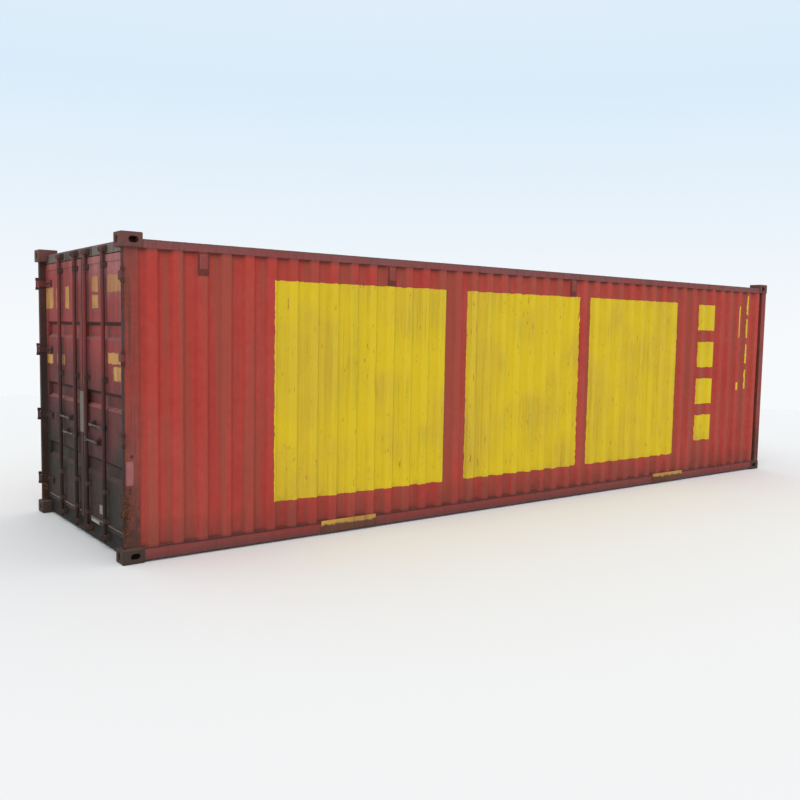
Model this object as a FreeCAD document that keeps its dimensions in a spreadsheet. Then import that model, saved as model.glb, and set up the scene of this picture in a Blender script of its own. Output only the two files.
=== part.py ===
"""A 30 ft steel shipping container, 8 ft 6 in high, with a pair of hinged doors at its -X end.

Millimetres. +X runs along the length, the doors close the -X end, +Z is up, and the origin is the
middle of the rectangle that the container stands on. "right" is the -Y side and "left" the +Y side,
as seen by someone who stands outside and faces the doors. Depths are measured from the end plane
and from the side plane, which are the outer faces of the corner castings.
"""
import FreeCAD, Part
import os
import re

import Sketcher

doc = FreeCAD.newDocument("shipping_container")

# --- driving dimensions -----------------------------------------------------------------------
SIZES = {
    # the whole box
    "total_length": 9125,
    "total_width": 2438,
    "total_height": 2591,
    "half_length": "=total_length / 2",
    "half_width": "=total_width / 2",
    # corner castings
    "casting_length": 178,
    "casting_width": 162,
    "casting_height": 118,
    "casting_outer_wall": 28,
    "casting_inner_wall": 12,
    "slot_from_end": 103.5,
    "slot_from_side": 89.5,
    "slot_length": 124,
    "slot_radius": 31.75,
    "side_hole_length": 79,
    "side_hole_radius": 25.5,
    "end_hole_height": 63.5,
    "end_hole_radius": 25.5,
    "under_casting_top": "=total_height - casting_height",
    # bottom and top rails
    "rail_clearance": 20,
    "rail_inset": 10,
    "rail_plate": 4,
    "rail_foot": 40,
    "rail_head": 50,
    "castings_above_rail": 55,
    "top_rail_width": 60,
    "rail_top": "=total_height - castings_above_rail",
    # floor and cross members
    "floor_rise": 47,
    "floor_board": 28,
    "floor_joint": 3,
    "floor_side_gap": 2,
    "floor_rows": 7,
    "member_pitch": 305,
    "member_width": 45,
    "member_plate": 4,
    "member_rise": 6,
    "member_start": 250,
    "floor_top": "=casting_height + floor_rise",
    "floor_under": "=floor_top - floor_board",
    # hinges
    "hinge_inset": 16,
    "pin_radius": 6,
    "pin_clearance": 0.5,
    "pin_head": 2,
    "knuckle_wall": 5,
    "knuckle_height": 60,
    "knuckle_gap": 2,
    "lug_radius": 14,
    "lug_height": 26,
    "lug_weld": 24,
    "blade_plate": 8,
    "blade_reach": 190,
    "hinge_count": 4,
    "hinge_end": 185,
    "hinge_stand_off": 12,
    # corner posts
    "rear_post_width": 50,
    "rear_post_plate": 6,
    "rear_post_rim": 2,
    "stop_width": 20,
    "stop_plate": 8,
    "front_post_inset": 8,
    "front_post_back": 105,
    "front_post_width": 82,
    "front_post_plate": 5,
    "rear_post_inset": "=hinge_inset + hinge_stand_off",
    # door leaves
    "leaf_depth": 82,
    "leaf_thickness": 46,
    "leaf_edge_gap": 6,
    "leaf_below_floor": 10,
    "leaf_top_gap": 25,
    "seam_gap": 20,
    "leaf_member": 60,
    "leaf_sheet": 3,
    "leaf_sheet_inset": 4,
    "recess_depth": 30,
    "recess_pitch": 582,
    "recess_drop": 60,
    "recess_mouth": 150,
    "recess_floor": 90,
    "gasket_width": 25,
    "gasket_plate": 6,
    "stop_gap": 6,
    "leaf_outer_edge": "=rear_post_inset + rear_post_width + leaf_edge_gap",
    "leaf_bottom": "=floor_top - leaf_below_floor",
    "leaf_top": "=under_casting_top - leaf_top_gap",
    "leaf_middle": "=(leaf_bottom + leaf_top) / 2",
    "leaf_back": "=leaf_depth + leaf_thickness",
    "sheet_face": "=leaf_depth + leaf_sheet_inset",
    "stop_depth": "=leaf_back + gasket_plate + stop_gap",
    "rear_post_back": "=stop_depth + stop_plate + rear_post_rim",
    "hinge_pitch": "=(leaf_top - leaf_bottom - 2 * hinge_end) / (hinge_count - 1)",
    # corrugated sheets
    "sheet_plate": 2,
    "corrugation_pitch": 211,
    "corrugation_depth": 36,
    "roof_depth": 20,
    "roof_plate_length": 330,
    "roof_plate": 4,
    # locking bars
    "bar_radius": 17,
    "bar_wall": 3,
    "bar_gap": 5,
    "bar_overrun": 62,
    "bar_foot": 92,
    "inner_bar_place": 150,
    "outer_bar_place": 615,
    "guide_clearance": 1,
    "guide_wall": 4,
    "guide_width": 48,
    "guide_height": 40,
    "guide_foot": 96,
    "guide_end": 80,
    "guide_from_recess": 100,
    "foot_plate": 6,
    "cam_wall": 4,
    "cam_gap": 7,
    "cam_height": 40,
    "cam_reach": 42,
    "cam_nose": 20,
    "keeper_gap": 6,
    "nose_gap": 8,
    "keeper_plate": 10,
    "keeper_set_back": 3,
    "keeper_height": 50,
    "bottom_cam_height": 100,
    "top_cam_drop": 95,
    "bar_depth": "=leaf_depth - bar_gap - bar_radius",
    "cam_radius": "=bar_radius + cam_wall",
    "cam_front": "=bar_depth - cam_radius",
    # header and sill
    "header_gap": 8,
    "header_plate": 6,
    "sill_gap": 8,
    "header_front": "=bar_depth + cam_radius + cam_gap",
    "header_bottom": "=leaf_top + header_gap",
    "sill_top": "=leaf_bottom - sill_gap",
    # handles
    "inner_handle_drop": 420,
    "outer_handle_drop": 280,
    "hub_height": 44,
    "lever_set_back": 1,
    "lever_plate": 10,
    "lever_width": 24,
    "lever_length": 345,
    "catch_place": 290,
    "catch_width": 40,
    "catch_gap": 6,
    "catch_prong": 12,
    "lever_front": "=cam_front + lever_set_back",
    # small fittings
    "vent_width": 95,
    "vent_height": 180,
    "vent_plate": 8,
    "vent_drop": 8,
    "pad_length": 610,
    "pad_spacing": 4876,
    "pad_plate": 8,
    "pad_top": 133,
    "cover_width": 96,
    "cover_drop": 370,
    "cover_height": 360,
    "cover_depth": 32,
    "cover_plate": 3,
    "cover_seam": 12,
}

sheet = doc.addObject("Spreadsheet::Sheet", "dims")
for row, (alias, value) in enumerate(SIZES.items(), start=1):
    sheet.set(f"A{row}", alias)
    sheet.set(f"B{row}", str(value))
    sheet.setAlias(f"B{row}", alias)
doc.recompute()

nodes = []


# --- making and binding -----------------------------------------------------------------------
def bound(text):
    """The expression with each size name pointed at the sheet."""
    return re.sub(r"[a-z_]+", lambda word: "dims." + word[0] if word[0] in SIZES else word[0], text)


def size(alias):
    """The present value of a size, for counts that a loop needs."""
    return float(getattr(sheet, alias))


def place(thing, x="0", y="0", z="0"):
    for axis, text in zip("xyz", (x, y, z)):
        thing.setExpression(f"Placement.Base.{axis}", bound(text))
    return thing


def box(name, x, y, z):
    """A block between a low and a high expression on each axis."""
    block = doc.addObject("Part::Box", name)
    for side, (low, high) in zip(("Length", "Width", "Height"), (x, y, z)):
        block.setExpression(side, bound(f"({high}) - ({low})"))
    return place(block, x[0], y[0], z[0])


def round_bar(name, x, y, z, radius):
    """An upright cylinder on the line (x, y) between two heights."""
    bar = doc.addObject("Part::Cylinder", name)
    bar.setExpression("Radius", bound(radius))
    bar.setExpression("Height", bound(f"({z[1]}) - ({z[0]})"))
    return place(bar, x, y, z[0])


def fused(name, pieces):
    joined = doc.addObject("Part::MultiFuse", name)
    joined.Shapes = pieces
    joined.Refine = True
    return joined


def cut(name, base, tools):
    rest = doc.addObject("Part::Cut", name)
    rest.Base = base
    rest.Tool = tools[0] if len(tools) == 1 else group(name + "_tools", tools)
    return rest


def group(name, members):
    """Like pieces that share a node, as solids that don't touch."""
    held = doc.addObject("Part::Compound", name)
    held.Links = members
    return held


def mirrored(name, source):
    """The same piece on the other side of the middle plane."""
    twin = doc.addObject("Part::Mirroring", name)
    twin.Source = source
    twin.Normal = FreeCAD.Vector(0, 1, 0)
    return twin


def both_sides(name, right):
    return group(name, [right, mirrored(name + "_left", right)])


def node(thing, name):
    """Name a finished sub-part and keep it for export."""
    thing.Label = name
    nodes.append(thing)
    return thing


def origin_plane(body, role):
    return next(feature for feature in body.Origin.OriginFeatures if feature.Role == role)


def outline(body, name, role, loops):
    """A fully dimensioned sketch of closed loops on one of the body's own planes."""
    sketch = body.newObject("Sketcher::SketchObject", name)
    sketch.AttachmentSupport = [(origin_plane(body, role), "")]
    sketch.MapMode = "FlatFace"
    for loop in loops:
        first = sketch.GeometryCount
        count = len(loop)
        bindings = [(bound(across), bound(up)) for across, up in loop]
        points = [tuple(float(sketch.evalExpression(text)) for text in pair) for pair in bindings]
        for index in range(count):
            start = FreeCAD.Vector(*points[index], 0)
            end = FreeCAD.Vector(*points[(index + 1) % count], 0)
            sketch.addGeometry(Part.LineSegment(start, end))
        for index in range(count):
            line = first + index
            following = first + (index + 1) % count
            sketch.addConstraint(Sketcher.Constraint("Coincident", line, 2, following, 1))
            kinds = ("DistanceX", "DistanceY")
            for kind, value, text in zip(kinds, points[index], bindings[index]):
                rule = sketch.addConstraint(Sketcher.Constraint(kind, -1, 1, line, 1, value))
                sketch.setExpression(f"Constraints[{rule}]", text)
    return sketch


def beam(name, role, loops, length):
    """A section padded both ways from its plane."""
    body = doc.addObject("PartDesign::Body", name)
    sketch = outline(body, name + "_section", role, loops)
    pad = body.newObject("PartDesign::Pad", name + "_pad")
    pad.Profile = sketch
    pad.Midplane = True
    pad.setExpression("Length", bound(length))
    body.Tip = pad
    return body


def repeat(body, role, count, pitch):
    """Repeat the body's last feature along one of its own axes."""
    source = body.Tip
    doc.recompute()
    pattern = body.newObject("PartDesign::LinearPattern", body.Name + "_row")
    pattern.Originals = [source]
    pattern.Direction = (origin_plane(body, role), [""])
    pattern.Length = pitch * (count - 1)
    pattern.Occurrences = count
    body.Tip = pattern
    return body


def ring(outer_x, outer_y, wall):
    """The two loops of a tube's section, from its outer limits and wall."""
    loops = []
    for inset in ("0", wall):
        low_x, high_x = f"{outer_x[0]} + {inset}", f"{outer_x[1]} - {inset}"
        low_y, high_y = f"{outer_y[0]} + {inset}", f"{outer_y[1]} - {inset}"
        loops.append([(low_x, low_y), (high_x, low_y), (high_x, high_y), (low_x, high_y)])
    return loops


def wave_loop(pitch, depth, plate):
    """One pitch of a trapezoid sheet that starts and ends in its low flats."""
    stations = [(0, 0), (1 / 6, 0), (1 / 3, 1), (2 / 3, 1), (5 / 6, 0), (1, 0)]
    top = [(f"{share} * {pitch}", f"{rise} * {depth}") for share, rise in stations]
    under = [(across, f"{up} - {plate}") for across, up in reversed(top)]
    return top + under


# --- corner castings --------------------------------------------------------------------------
def corner_casting(name, end, floor_side):
    """One hollow casting at the -Y side; end is -1 at the doors, floor_side is -1 at the bottom."""
    def along(depth_low, depth_high):
        pair = (f"-half_length + {depth_low}", f"-half_length + {depth_high}")
        if end < 0:
            return pair
        return (f"half_length - ({depth_high})", f"half_length - ({depth_low})")

    def up(low, high):
        pair = (low, high)
        return pair if floor_side < 0 else (f"total_height - ({high})", f"total_height - ({low})")

    def across(low, high):
        return (f"-half_width + {low}", f"-half_width + {high}")

    block = box(name + "_block", along("0", "casting_length"), across("0", "casting_width"),
                up("0", "casting_height"))
    cavity = box(name + "_cavity",
                 along("casting_outer_wall", "casting_length - casting_inner_wall"),
                 across("casting_outer_wall", "casting_width - casting_inner_wall"),
                 up("casting_outer_wall", "casting_height - casting_inner_wall"))
    straight = "slot_length / 2 - slot_radius"
    slot_height = up("-1", "casting_outer_wall + 1")
    slot_y = "-half_width + slot_from_side"
    tools = [cavity, box(name + "_slot",
                         along(f"slot_from_end - ({straight})", f"slot_from_end + ({straight})"),
                         (f"{slot_y} - slot_radius", f"{slot_y} + slot_radius"), slot_height)]
    for index, sign in enumerate("-+"):
        line_x = along(f"slot_from_end {sign} ({straight})", "0")[0 if end < 0 else 1]
        tools.append(round_bar(f"{name}_slot_end_{index}", line_x, slot_y, slot_height,
                               "slot_radius"))
    middle = "casting_height / 2"
    half_hole = "side_hole_length / 2"
    tools.append(box(name + "_side_hole",
                     along(f"slot_from_end - {half_hole}", f"slot_from_end + {half_hole}"),
                     across("-1", "casting_outer_wall + 1"),
                     up(f"{middle} - side_hole_radius", f"{middle} + side_hole_radius")))
    tools.append(box(name + "_end_hole", along("-1", "casting_outer_wall + 1"),
                     (f"{slot_y} - end_hole_radius", f"{slot_y} + end_hole_radius"),
                     up(f"{middle} - end_hole_height / 2", f"{middle} + end_hole_height / 2")))
    return cut(name, block, [fused(name + "_hollow", tools)])


for level, floor_side in (("bottom", -1), ("top", 1)):
    castings = []
    for place_name, end in (("rear", -1), ("front", 1)):
        right = corner_casting(f"{level}_{place_name}_casting", end, floor_side)
        castings += [right, mirrored(f"{level}_{place_name}_casting_left", right)]
    node(group(f"{level}_castings_group", castings), f"{level}_corner_castings")


# --- rails ------------------------------------------------------------------------------------
def side_y(depth):
    """A place at the -Y side, by its depth from the side plane."""
    return f"-half_width + {depth}"


def bottom_side_rail():
    """A pressed channel with a lip that closes the joint below the floor."""
    face, back = side_y("rail_inset"), side_y("rail_inset + rail_plate")
    foot, head = side_y("rail_inset + rail_foot"), side_y("rail_inset + rail_head")
    head_back = side_y("rail_inset + rail_head - rail_plate")
    foot_top, shelf = "rail_clearance + rail_plate", "casting_height - rail_plate"
    loop = [(face, "rail_clearance"), (foot, "rail_clearance"), (foot, foot_top), (back, foot_top),
            (back, shelf), (head, shelf), (head, "floor_under"), (head_back, "floor_under"),
            (head_back, "casting_height"), (face, "casting_height")]
    return beam("bottom_rail", "YZ_Plane", [loop], "total_length - 2 * casting_length")


def top_side_rail():
    loops = ring((side_y("rail_inset"), side_y("rail_inset + top_rail_width")),
                 ("under_casting_top", "rail_top"), "rail_plate")
    return beam("top_rail", "YZ_Plane", loops, "total_length - 2 * casting_length")


node(both_sides("bottom_rails", bottom_side_rail()), "bottom_side_rails")
node(both_sides("top_rails", top_side_rail()), "top_side_rails")

between_castings = "total_width - 2 * casting_width"
front_rail_x = ("half_length - rail_inset - top_rail_width", "half_length - rail_inset")
front_top_loops = ring(front_rail_x, ("under_casting_top", "rail_top"), "rail_plate")
node(beam("front_top", "XZ_Plane", front_top_loops, between_castings), "front_top_rail")


def front_bottom_rail():
    """A box rail with a lip that carries the last floor board."""
    loops = ring(front_rail_x, ("rail_clearance", "casting_height"), "rail_plate")
    tube = beam("front_bottom", "XZ_Plane", loops, between_castings)
    lip = box("front_bottom_lip", (front_rail_x[0], f"{front_rail_x[0]} + rail_plate"),
              (f"-({between_castings}) / 2", f"({between_castings}) / 2"),
              ("casting_height", "floor_under"))
    return fused("front_bottom_fused", [tube, lip])


node(front_bottom_rail(), "front_bottom_rail")


# --- door header and sill ---------------------------------------------------------------------
def end_x(depth):
    """A place at the door end, by its depth from the end plane."""
    return f"-half_length + {depth}"


half_clear = "half_width - casting_width"
half_doorway = "half_width - rear_post_inset - rear_post_width"


def door_header():
    tube = beam("header_tube", "XZ_Plane",
                ring((end_x("header_front"), end_x("casting_length")),
                     ("under_casting_top", "rail_top"), "header_plate"), between_castings)
    lower = box("header_lower", (end_x("header_front"), end_x("casting_length")),
                (f"-({half_doorway})", half_doorway), ("header_bottom", "under_casting_top"))
    stop = box("header_stop", (end_x("stop_depth"), end_x("stop_depth + stop_plate")),
               (f"-({half_doorway})", half_doorway), ("leaf_top - stop_width", "header_bottom"))
    return fused("header_fused", [tube, lower, stop])


def door_sill():
    tube = beam("sill_tube", "XZ_Plane",
                ring((end_x("header_front"), end_x("casting_length")),
                     ("rail_clearance", "casting_height"), "header_plate"), between_castings)
    upper = box("sill_upper", (end_x("header_front"), end_x("casting_length")),
                (f"-({half_doorway})", half_doorway), ("casting_height", "sill_top"))
    stop = box("sill_stop", (end_x("stop_depth"), end_x("casting_length")),
               (f"-({half_doorway})", half_doorway), ("sill_top", "floor_top"))
    return fused("sill_fused", [tube, upper, stop])


node(door_header(), "door_header")
node(door_sill(), "door_sill")


# --- corner posts -----------------------------------------------------------------------------
post_length = "total_height - 2 * casting_height"
axis_x = end_x("hinge_inset")
axis_y = side_y("hinge_inset")


def hinge_height(index):
    return f"leaf_bottom + hinge_end + {index} * hinge_pitch"


hinge_heights = [hinge_height(index) for index in range(int(size("hinge_count")))]


def rear_post():
    """A welded box post with the door stop and the fixed hinge lugs on it."""
    tube = place(beam("rear_post_tube", "XY_Plane",
                      ring((end_x("rear_post_inset"), end_x("rear_post_back")),
                           (side_y("rear_post_inset"), side_y("rear_post_inset + rear_post_width")),
                           "rear_post_plate"), post_length), z="total_height / 2")
    stop_y = side_y("rear_post_inset + rear_post_width")
    stop = box("rear_post_stop", (end_x("stop_depth"), end_x("stop_depth + stop_plate")),
               (stop_y, f"{stop_y} + leaf_edge_gap + stop_width"),
               ("floor_top", "leaf_top - stop_width"))
    pieces = [tube, stop]
    bores = []
    for index, height in enumerate(hinge_heights):
        offset = "knuckle_height / 2 + knuckle_gap"
        for step, (low, high) in enumerate(((f"-({offset}) - lug_height", f"-({offset})"),
                                            (offset, f"{offset} + lug_height"))):
            span = (f"{height} + {low}", f"{height} + {high}")
            label = f"lug_{index}_{step}"
            pieces.append(round_bar(label, axis_x, axis_y, span, "lug_radius"))
            pieces.append(box(label + "_weld", (axis_x, f"{axis_x} + lug_weld"),
                              (axis_y, f"{axis_y} + lug_weld"), span))
        bores.append(round_bar(f"lug_bore_{index}", axis_x, axis_y,
                               (f"{height} - 2 * knuckle_height", f"{height} + 2 * knuckle_height"),
                               "pin_radius + pin_clearance"))
    return cut("rear_post_bored", fused("rear_post_fused", pieces), bores)


def front_post():
    loops = ring(("half_length - front_post_back", "half_length - front_post_inset"),
                 (side_y("front_post_inset"), side_y("front_post_inset + front_post_width")),
                 "front_post_plate")
    return place(beam("front_post_tube", "XY_Plane", loops, post_length), z="total_height / 2")


right_rear_post = rear_post()
node(right_rear_post, "right_rear_post")
node(mirrored("left_rear_post_twin", right_rear_post), "left_rear_post")
node(both_sides("front_posts", front_post()), "front_corner_posts")


# --- corrugated walls and roof ----------------------------------------------------------------
def corrugated(name, role, axis, span, depth, length, turned=False):
    """A sheet of whole corrugations along one axis, its low flats at both ends."""
    count = round(float(sheet.evalExpression(bound(f"({span}) / corrugation_pitch"))))
    pitch = f"({span}) / {count}"
    loop = wave_loop(pitch, depth, "sheet_plate")
    if turned:
        loop = [(up, across) for across, up in loop]
    body = beam(name, role, [loop], length)
    return repeat(body, axis, count, float(sheet.evalExpression(bound(pitch))))


wall_span = "total_length - rear_post_back - front_post_back"
right_wall = corrugated("right_wall", "XY_Plane", "X_Axis", wall_span, "-corrugation_depth",
                        post_length)
place(right_wall, "-half_length + rear_post_back",
      side_y("rail_inset + corrugation_depth + sheet_plate"), "total_height / 2")
node(right_wall, "right_side_wall")
node(mirrored("left_wall", right_wall), "left_side_wall")

front_span = "total_width - 2 * (front_post_inset + front_post_width)"
front_wall = corrugated("front_wall_sheet", "XY_Plane", "Y_Axis", front_span, "corrugation_depth",
                        post_length, turned=True)
place(front_wall, "half_length - rail_inset - corrugation_depth", f"-({front_span}) / 2",
      "total_height / 2")
node(front_wall, "front_wall")

roof_span = "total_length - 2 * roof_plate_length"
roof_width = "total_width - 2 * rail_inset"
roof = corrugated("roof_sheet", "XZ_Plane", "X_Axis", roof_span, "roof_depth", roof_width)
place(roof, f"-({roof_span}) / 2", "0", "rail_top + sheet_plate")
node(roof, "roof_panel")


def roof_end_plate(name, near, far):
    """The flat plate between the roof sheet and the castings of one end."""
    height = ("rail_top", "rail_top + roof_plate")
    inner = box(name + "_inner", near, (f"-({half_clear})", half_clear), height)
    outer = box(name + "_outer", far, (f"-({roof_width}) / 2", f"({roof_width}) / 2"), height)
    return fused(name, [inner, outer])


roof_plates = [
    roof_end_plate("rear_roof_plate", (end_x("header_front"), end_x("casting_length")),
                   (end_x("casting_length"), end_x("roof_plate_length"))),
    roof_end_plate("front_roof_plate", ("half_length - casting_length", "half_length - rail_inset"),
                   ("half_length - roof_plate_length", "half_length - casting_length")),
]
node(group("roof_plates", roof_plates), "roof_end_plates")


# --- floor ------------------------------------------------------------------------------------
def cross_members():
    """Channels across the container, which carry the floor between the bottom rails."""
    low, high = "rail_clearance + member_rise", "floor_under"
    web, flange = "member_plate", "member_width"
    loop = [("0", low), (flange, low), (flange, f"{low} + {web}"), (web, f"{low} + {web}"),
            (web, f"{high} - {web}"), (flange, f"{high} - {web}"), (flange, high), ("0", high)]
    span = size("total_length") - 2 * size("member_start") - size("member_width")
    count = round(span / size("member_pitch")) + 1
    body = beam("member", "XZ_Plane", [loop], "total_width - 2 * (rail_inset + rail_head)")
    body.AllowCompound = True
    repeat(body, "X_Axis", count, span / (count - 1))
    return place(body, "-half_length + member_start")


def floor_boards():
    """Plywood boards in two columns, with a narrow board along the front wall."""
    boards = []
    rows = int(size("floor_rows"))
    start = end_x("casting_length")
    length = "(total_length - casting_length - front_post_back - floor_side_gap)"
    edge = "half_width - rail_inset - corrugation_depth - sheet_plate - floor_side_gap"
    height = ("floor_under", "floor_top")
    for row in range(rows):
        span = (f"{start} + {length} * {row} / {rows}",
                f"{start} + {length} * {row + 1} / {rows} - floor_joint")
        boards.append(box(f"board_right_{row}", span, (f"-({edge})", "-floor_joint / 2"), height))
        boards.append(box(f"board_left_{row}", span, ("floor_joint / 2", edge), height))
    inner_post = f"({front_span}) / 2 - floor_side_gap"
    boards.append(box("board_front", ("half_length - front_post_back - floor_side_gap",
                                      "half_length - rail_inset - corrugation_depth - sheet_plate"
                                      " - floor_side_gap"),
                      (f"-({inner_post})", inner_post), height))
    return group("boards", boards)


node(cross_members(), "cross_members")
node(floor_boards(), "floor_boards")


# --- fittings of the side walls -----------------------------------------------------------------
def wall_fittings():
    """Vent covers on the crests, and lifting pads on the bottom rail, of the -Y side."""
    count = round(float(sheet.evalExpression(bound(f"({wall_span}) / corrugation_pitch"))))
    covers = []
    for crest in (round(count * 0.05), round(count * 0.27), round(count * 0.55)):
        middle = f"-half_length + rear_post_back + ({wall_span}) * ({crest} + 0.5) / {count}"
        top = "under_casting_top - vent_drop"
        covers.append(box(f"vent_{crest}",
                          (f"{middle} - vent_width / 2", f"{middle} + vent_width / 2"),
                          (side_y("rail_inset - vent_plate"), side_y("rail_inset")),
                          (f"{top} - vent_height", top)))
    pads = []
    for sign in "-+":
        middle = f"0 {sign} pad_spacing / 2"
        pads.append(box("pad_low" if sign == "-" else "pad_high",
                        (f"{middle} - pad_length / 2", f"{middle} + pad_length / 2"),
                        (side_y("rail_inset - pad_plate"), side_y("rail_inset")),
                        ("rail_clearance", "pad_top")))
    return covers, pads


vent_covers, lifting_pads = wall_fittings()
node(both_sides("vents", group("right_vents", vent_covers)), "vent_covers")
node(both_sides("pads", group("right_pads", lifting_pads)), "lifting_pads")


# --- hinge pins and blades --------------------------------------------------------------------
def hinge_pins():
    pins = []
    for index, height in enumerate(hinge_heights):
        reach = "knuckle_height / 2 + knuckle_gap + lug_height"
        shank = round_bar(f"pin_{index}", axis_x, axis_y,
                          (f"{height} - ({reach})", f"{height} + ({reach})"), "pin_radius")
        top = f"{height} + {reach}"
        head = round_bar(f"pin_head_{index}", axis_x, axis_y, (top, f"{top} + pin_head"),
                         "pin_radius + pin_head")
        pins.append(fused(f"pin_fused_{index}", [shank, head]))
    return group("pins", pins)


node(both_sides("hinge_pin_pairs", hinge_pins()), "hinge_pins")


def hinge_blades():
    """Cranked blades that reach round the post's corner to the face of the leaf."""
    blades = []
    half = "blade_plate / 2"
    turn = side_y("leaf_outer_edge")
    for index, height in enumerate(hinge_heights):
        span = (f"{height} - knuckle_height / 2", f"{height} + knuckle_height / 2")
        front = (f"{axis_x} - {half}", f"{axis_x} + {half}")
        knuckle = round_bar(f"knuckle_{index}", axis_x, axis_y, span, "pin_radius + knuckle_wall")
        arm = box(f"blade_arm_{index}", front, (axis_y, f"{turn} + blade_plate"), span)
        crank = box(f"blade_crank_{index}", (front[0], end_x("leaf_depth")),
                    (turn, f"{turn} + blade_plate"), span)
        strap = box(f"blade_strap_{index}",
                    (end_x("leaf_depth - blade_plate"), end_x("leaf_depth")),
                    (turn, f"{turn} + blade_reach"), span)
        bore = round_bar(f"knuckle_bore_{index}", axis_x, axis_y, span,
                         "pin_radius + pin_clearance")
        whole = fused(f"blade_fused_{index}", [knuckle, arm, crank, strap])
        blades.append(cut(f"blade_{index}", whole, [bore]))
    return group("blades", blades)


right_blades = hinge_blades()
node(right_blades, "right_door_hinges")
node(mirrored("left_blades", right_blades), "left_door_hinges")


# --- door leaves ------------------------------------------------------------------------------
leaf_y = (side_y("leaf_outer_edge"), "-seam_gap / 2")
leaf_inner_y = (f"{leaf_y[0]} + leaf_member", f"{leaf_y[1]} - leaf_member")
leaf_x = (end_x("leaf_depth"), end_x("leaf_back"))


def leaf_stiles():
    """The upright members at the hinge side and at the seam."""
    height = ("leaf_bottom", "leaf_top")
    hinge_stile = box("hinge_stile", leaf_x, (leaf_y[0], leaf_inner_y[0]), height)
    seam_stile = box("seam_stile", leaf_x, (leaf_inner_y[1], leaf_y[1]), height)
    return group("leaf_stile_pair", [hinge_stile, seam_stile])


def leaf_rails():
    """The members across the foot and the head, welded in between the stiles."""
    foot = ("leaf_bottom", "leaf_bottom + leaf_member")
    head = ("leaf_top - leaf_member", "leaf_top")
    return group("leaf_rail_pair", [box("foot_rail", leaf_x, leaf_inner_y, foot),
                                    box("head_rail", leaf_x, leaf_inner_y, head)])


def leaf_panel():
    """A pressed sheet with three recesses across the leaf."""
    face = end_x("sheet_face")
    floor = f"{face} + recess_depth"
    front = [(face, "leaf_bottom + leaf_member")]
    for step in (-1, 0, 1):
        middle = f"leaf_middle - recess_drop + {step} * recess_pitch"
        front += [(face, f"{middle} - recess_mouth / 2"), (floor, f"{middle} - recess_floor / 2"),
                  (floor, f"{middle} + recess_floor / 2"), (face, f"{middle} + recess_mouth / 2")]
    front.append((face, "leaf_top - leaf_member"))
    back = [(f"{depth} + leaf_sheet", height) for depth, height in reversed(front)]
    width = f"({leaf_inner_y[1]}) - ({leaf_inner_y[0]})"
    body = beam("leaf_sheet_body", "XZ_Plane", [front + back], width)
    return place(body, y=f"(({leaf_inner_y[1]}) + ({leaf_inner_y[0]})) / 2")


def leaf_gasket():
    """The rubber seal round the back of the leaf."""
    back = (leaf_x[1], f"{leaf_x[1]} + gasket_plate")
    block = box("gasket_block", back, leaf_y, ("leaf_bottom", "leaf_top"))
    window = box("gasket_window", (f"{back[0]} - 1", f"{back[1]} + 1"),
                 (f"{leaf_y[0]} + gasket_width", f"{leaf_y[1]} - gasket_width"),
                 ("leaf_bottom + gasket_width", "leaf_top - gasket_width"))
    return cut("gasket_cut", block, [window])


for maker, name in ((leaf_stiles, "door_stiles"), (leaf_rails, "door_rails"),
                    (leaf_panel, "door_panel"), (leaf_gasket, "door_gasket")):
    piece = maker()
    node(piece, f"right_{name}")
    node(mirrored(f"left_{name}_twin", piece), f"left_{name}")


# --- locking bars -----------------------------------------------------------------------------
BARS = {  # place from the middle, the way that the handle and the cam noses point, handle height
    "inner": ("inner_bar_place", -1, "leaf_middle - inner_handle_drop"),
    "outer": ("outer_bar_place", 1, "leaf_middle - outer_handle_drop"),
}
bar_x = end_x("bar_depth")
bar_span = ("sill_top - bar_foot", "header_bottom + bar_overrun")
cam_heights = ("bottom_cam_height", "total_height - top_cam_drop")
guide_heights = ("leaf_bottom + guide_end",
                 "leaf_middle - recess_drop - recess_pitch - recess_mouth / 2 - guide_from_recess",
                 "leaf_middle - recess_drop + recess_mouth / 2 + guide_from_recess",
                 "leaf_top - guide_end")


def ordered(middle, first, second, way):
    """The low and high limits between two distances from a line, on the way that it points."""
    near, far = f"{middle} + {way} * ({first})", f"{middle} + {way} * ({second})"
    return (near, far) if way > 0 else (far, near)


def locking_bar(name, bar_y, way):
    """A tube with a cam on each end, whose noses point the same way as the handle."""
    pieces = [round_bar(f"{name}_tube", bar_x, bar_y, bar_span, "bar_radius")]
    for index, height in enumerate(cam_heights):
        span = (f"{height} - cam_height / 2", f"{height} + cam_height / 2")
        pieces.append(round_bar(f"{name}_cam_{index}", bar_x, bar_y, span, "cam_radius"))
        pieces.append(box(f"{name}_nose_{index}",
                          (f"{bar_x} - cam_nose / 2", f"{bar_x} + cam_nose / 2"),
                          ordered(bar_y, "0", "cam_reach", way), span))
    hollow = (f"{cam_heights[0]} + cam_height / 2", f"{cam_heights[1]} - cam_height / 2")
    bore = round_bar(f"{name}_bore", bar_x, bar_y, hollow, "bar_radius - bar_wall")
    return cut(f"{name}_bored", fused(f"{name}_fused", pieces), [bore])


def bar_handle(name, bar_y, way, height):
    """A hub round the bar with a flat lever and a rounded grip."""
    hub_span = (f"{height} - hub_height / 2", f"{height} + hub_height / 2")
    hub = round_bar(f"{name}_hub", bar_x, bar_y, hub_span, "cam_radius")
    lever_x = (end_x("lever_front"), end_x("lever_front + lever_plate"))
    lever = box(f"{name}_lever", lever_x, ordered(bar_y, "0", "lever_length", way),
                (f"{height} - lever_width / 2", f"{height} + lever_width / 2"))
    bore = round_bar(f"{name}_hub_bore", bar_x, bar_y, hub_span, "bar_radius")
    return cut(f"{name}_handle_cut", fused(f"{name}_handle_fused", [hub, lever]), [bore])


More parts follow.
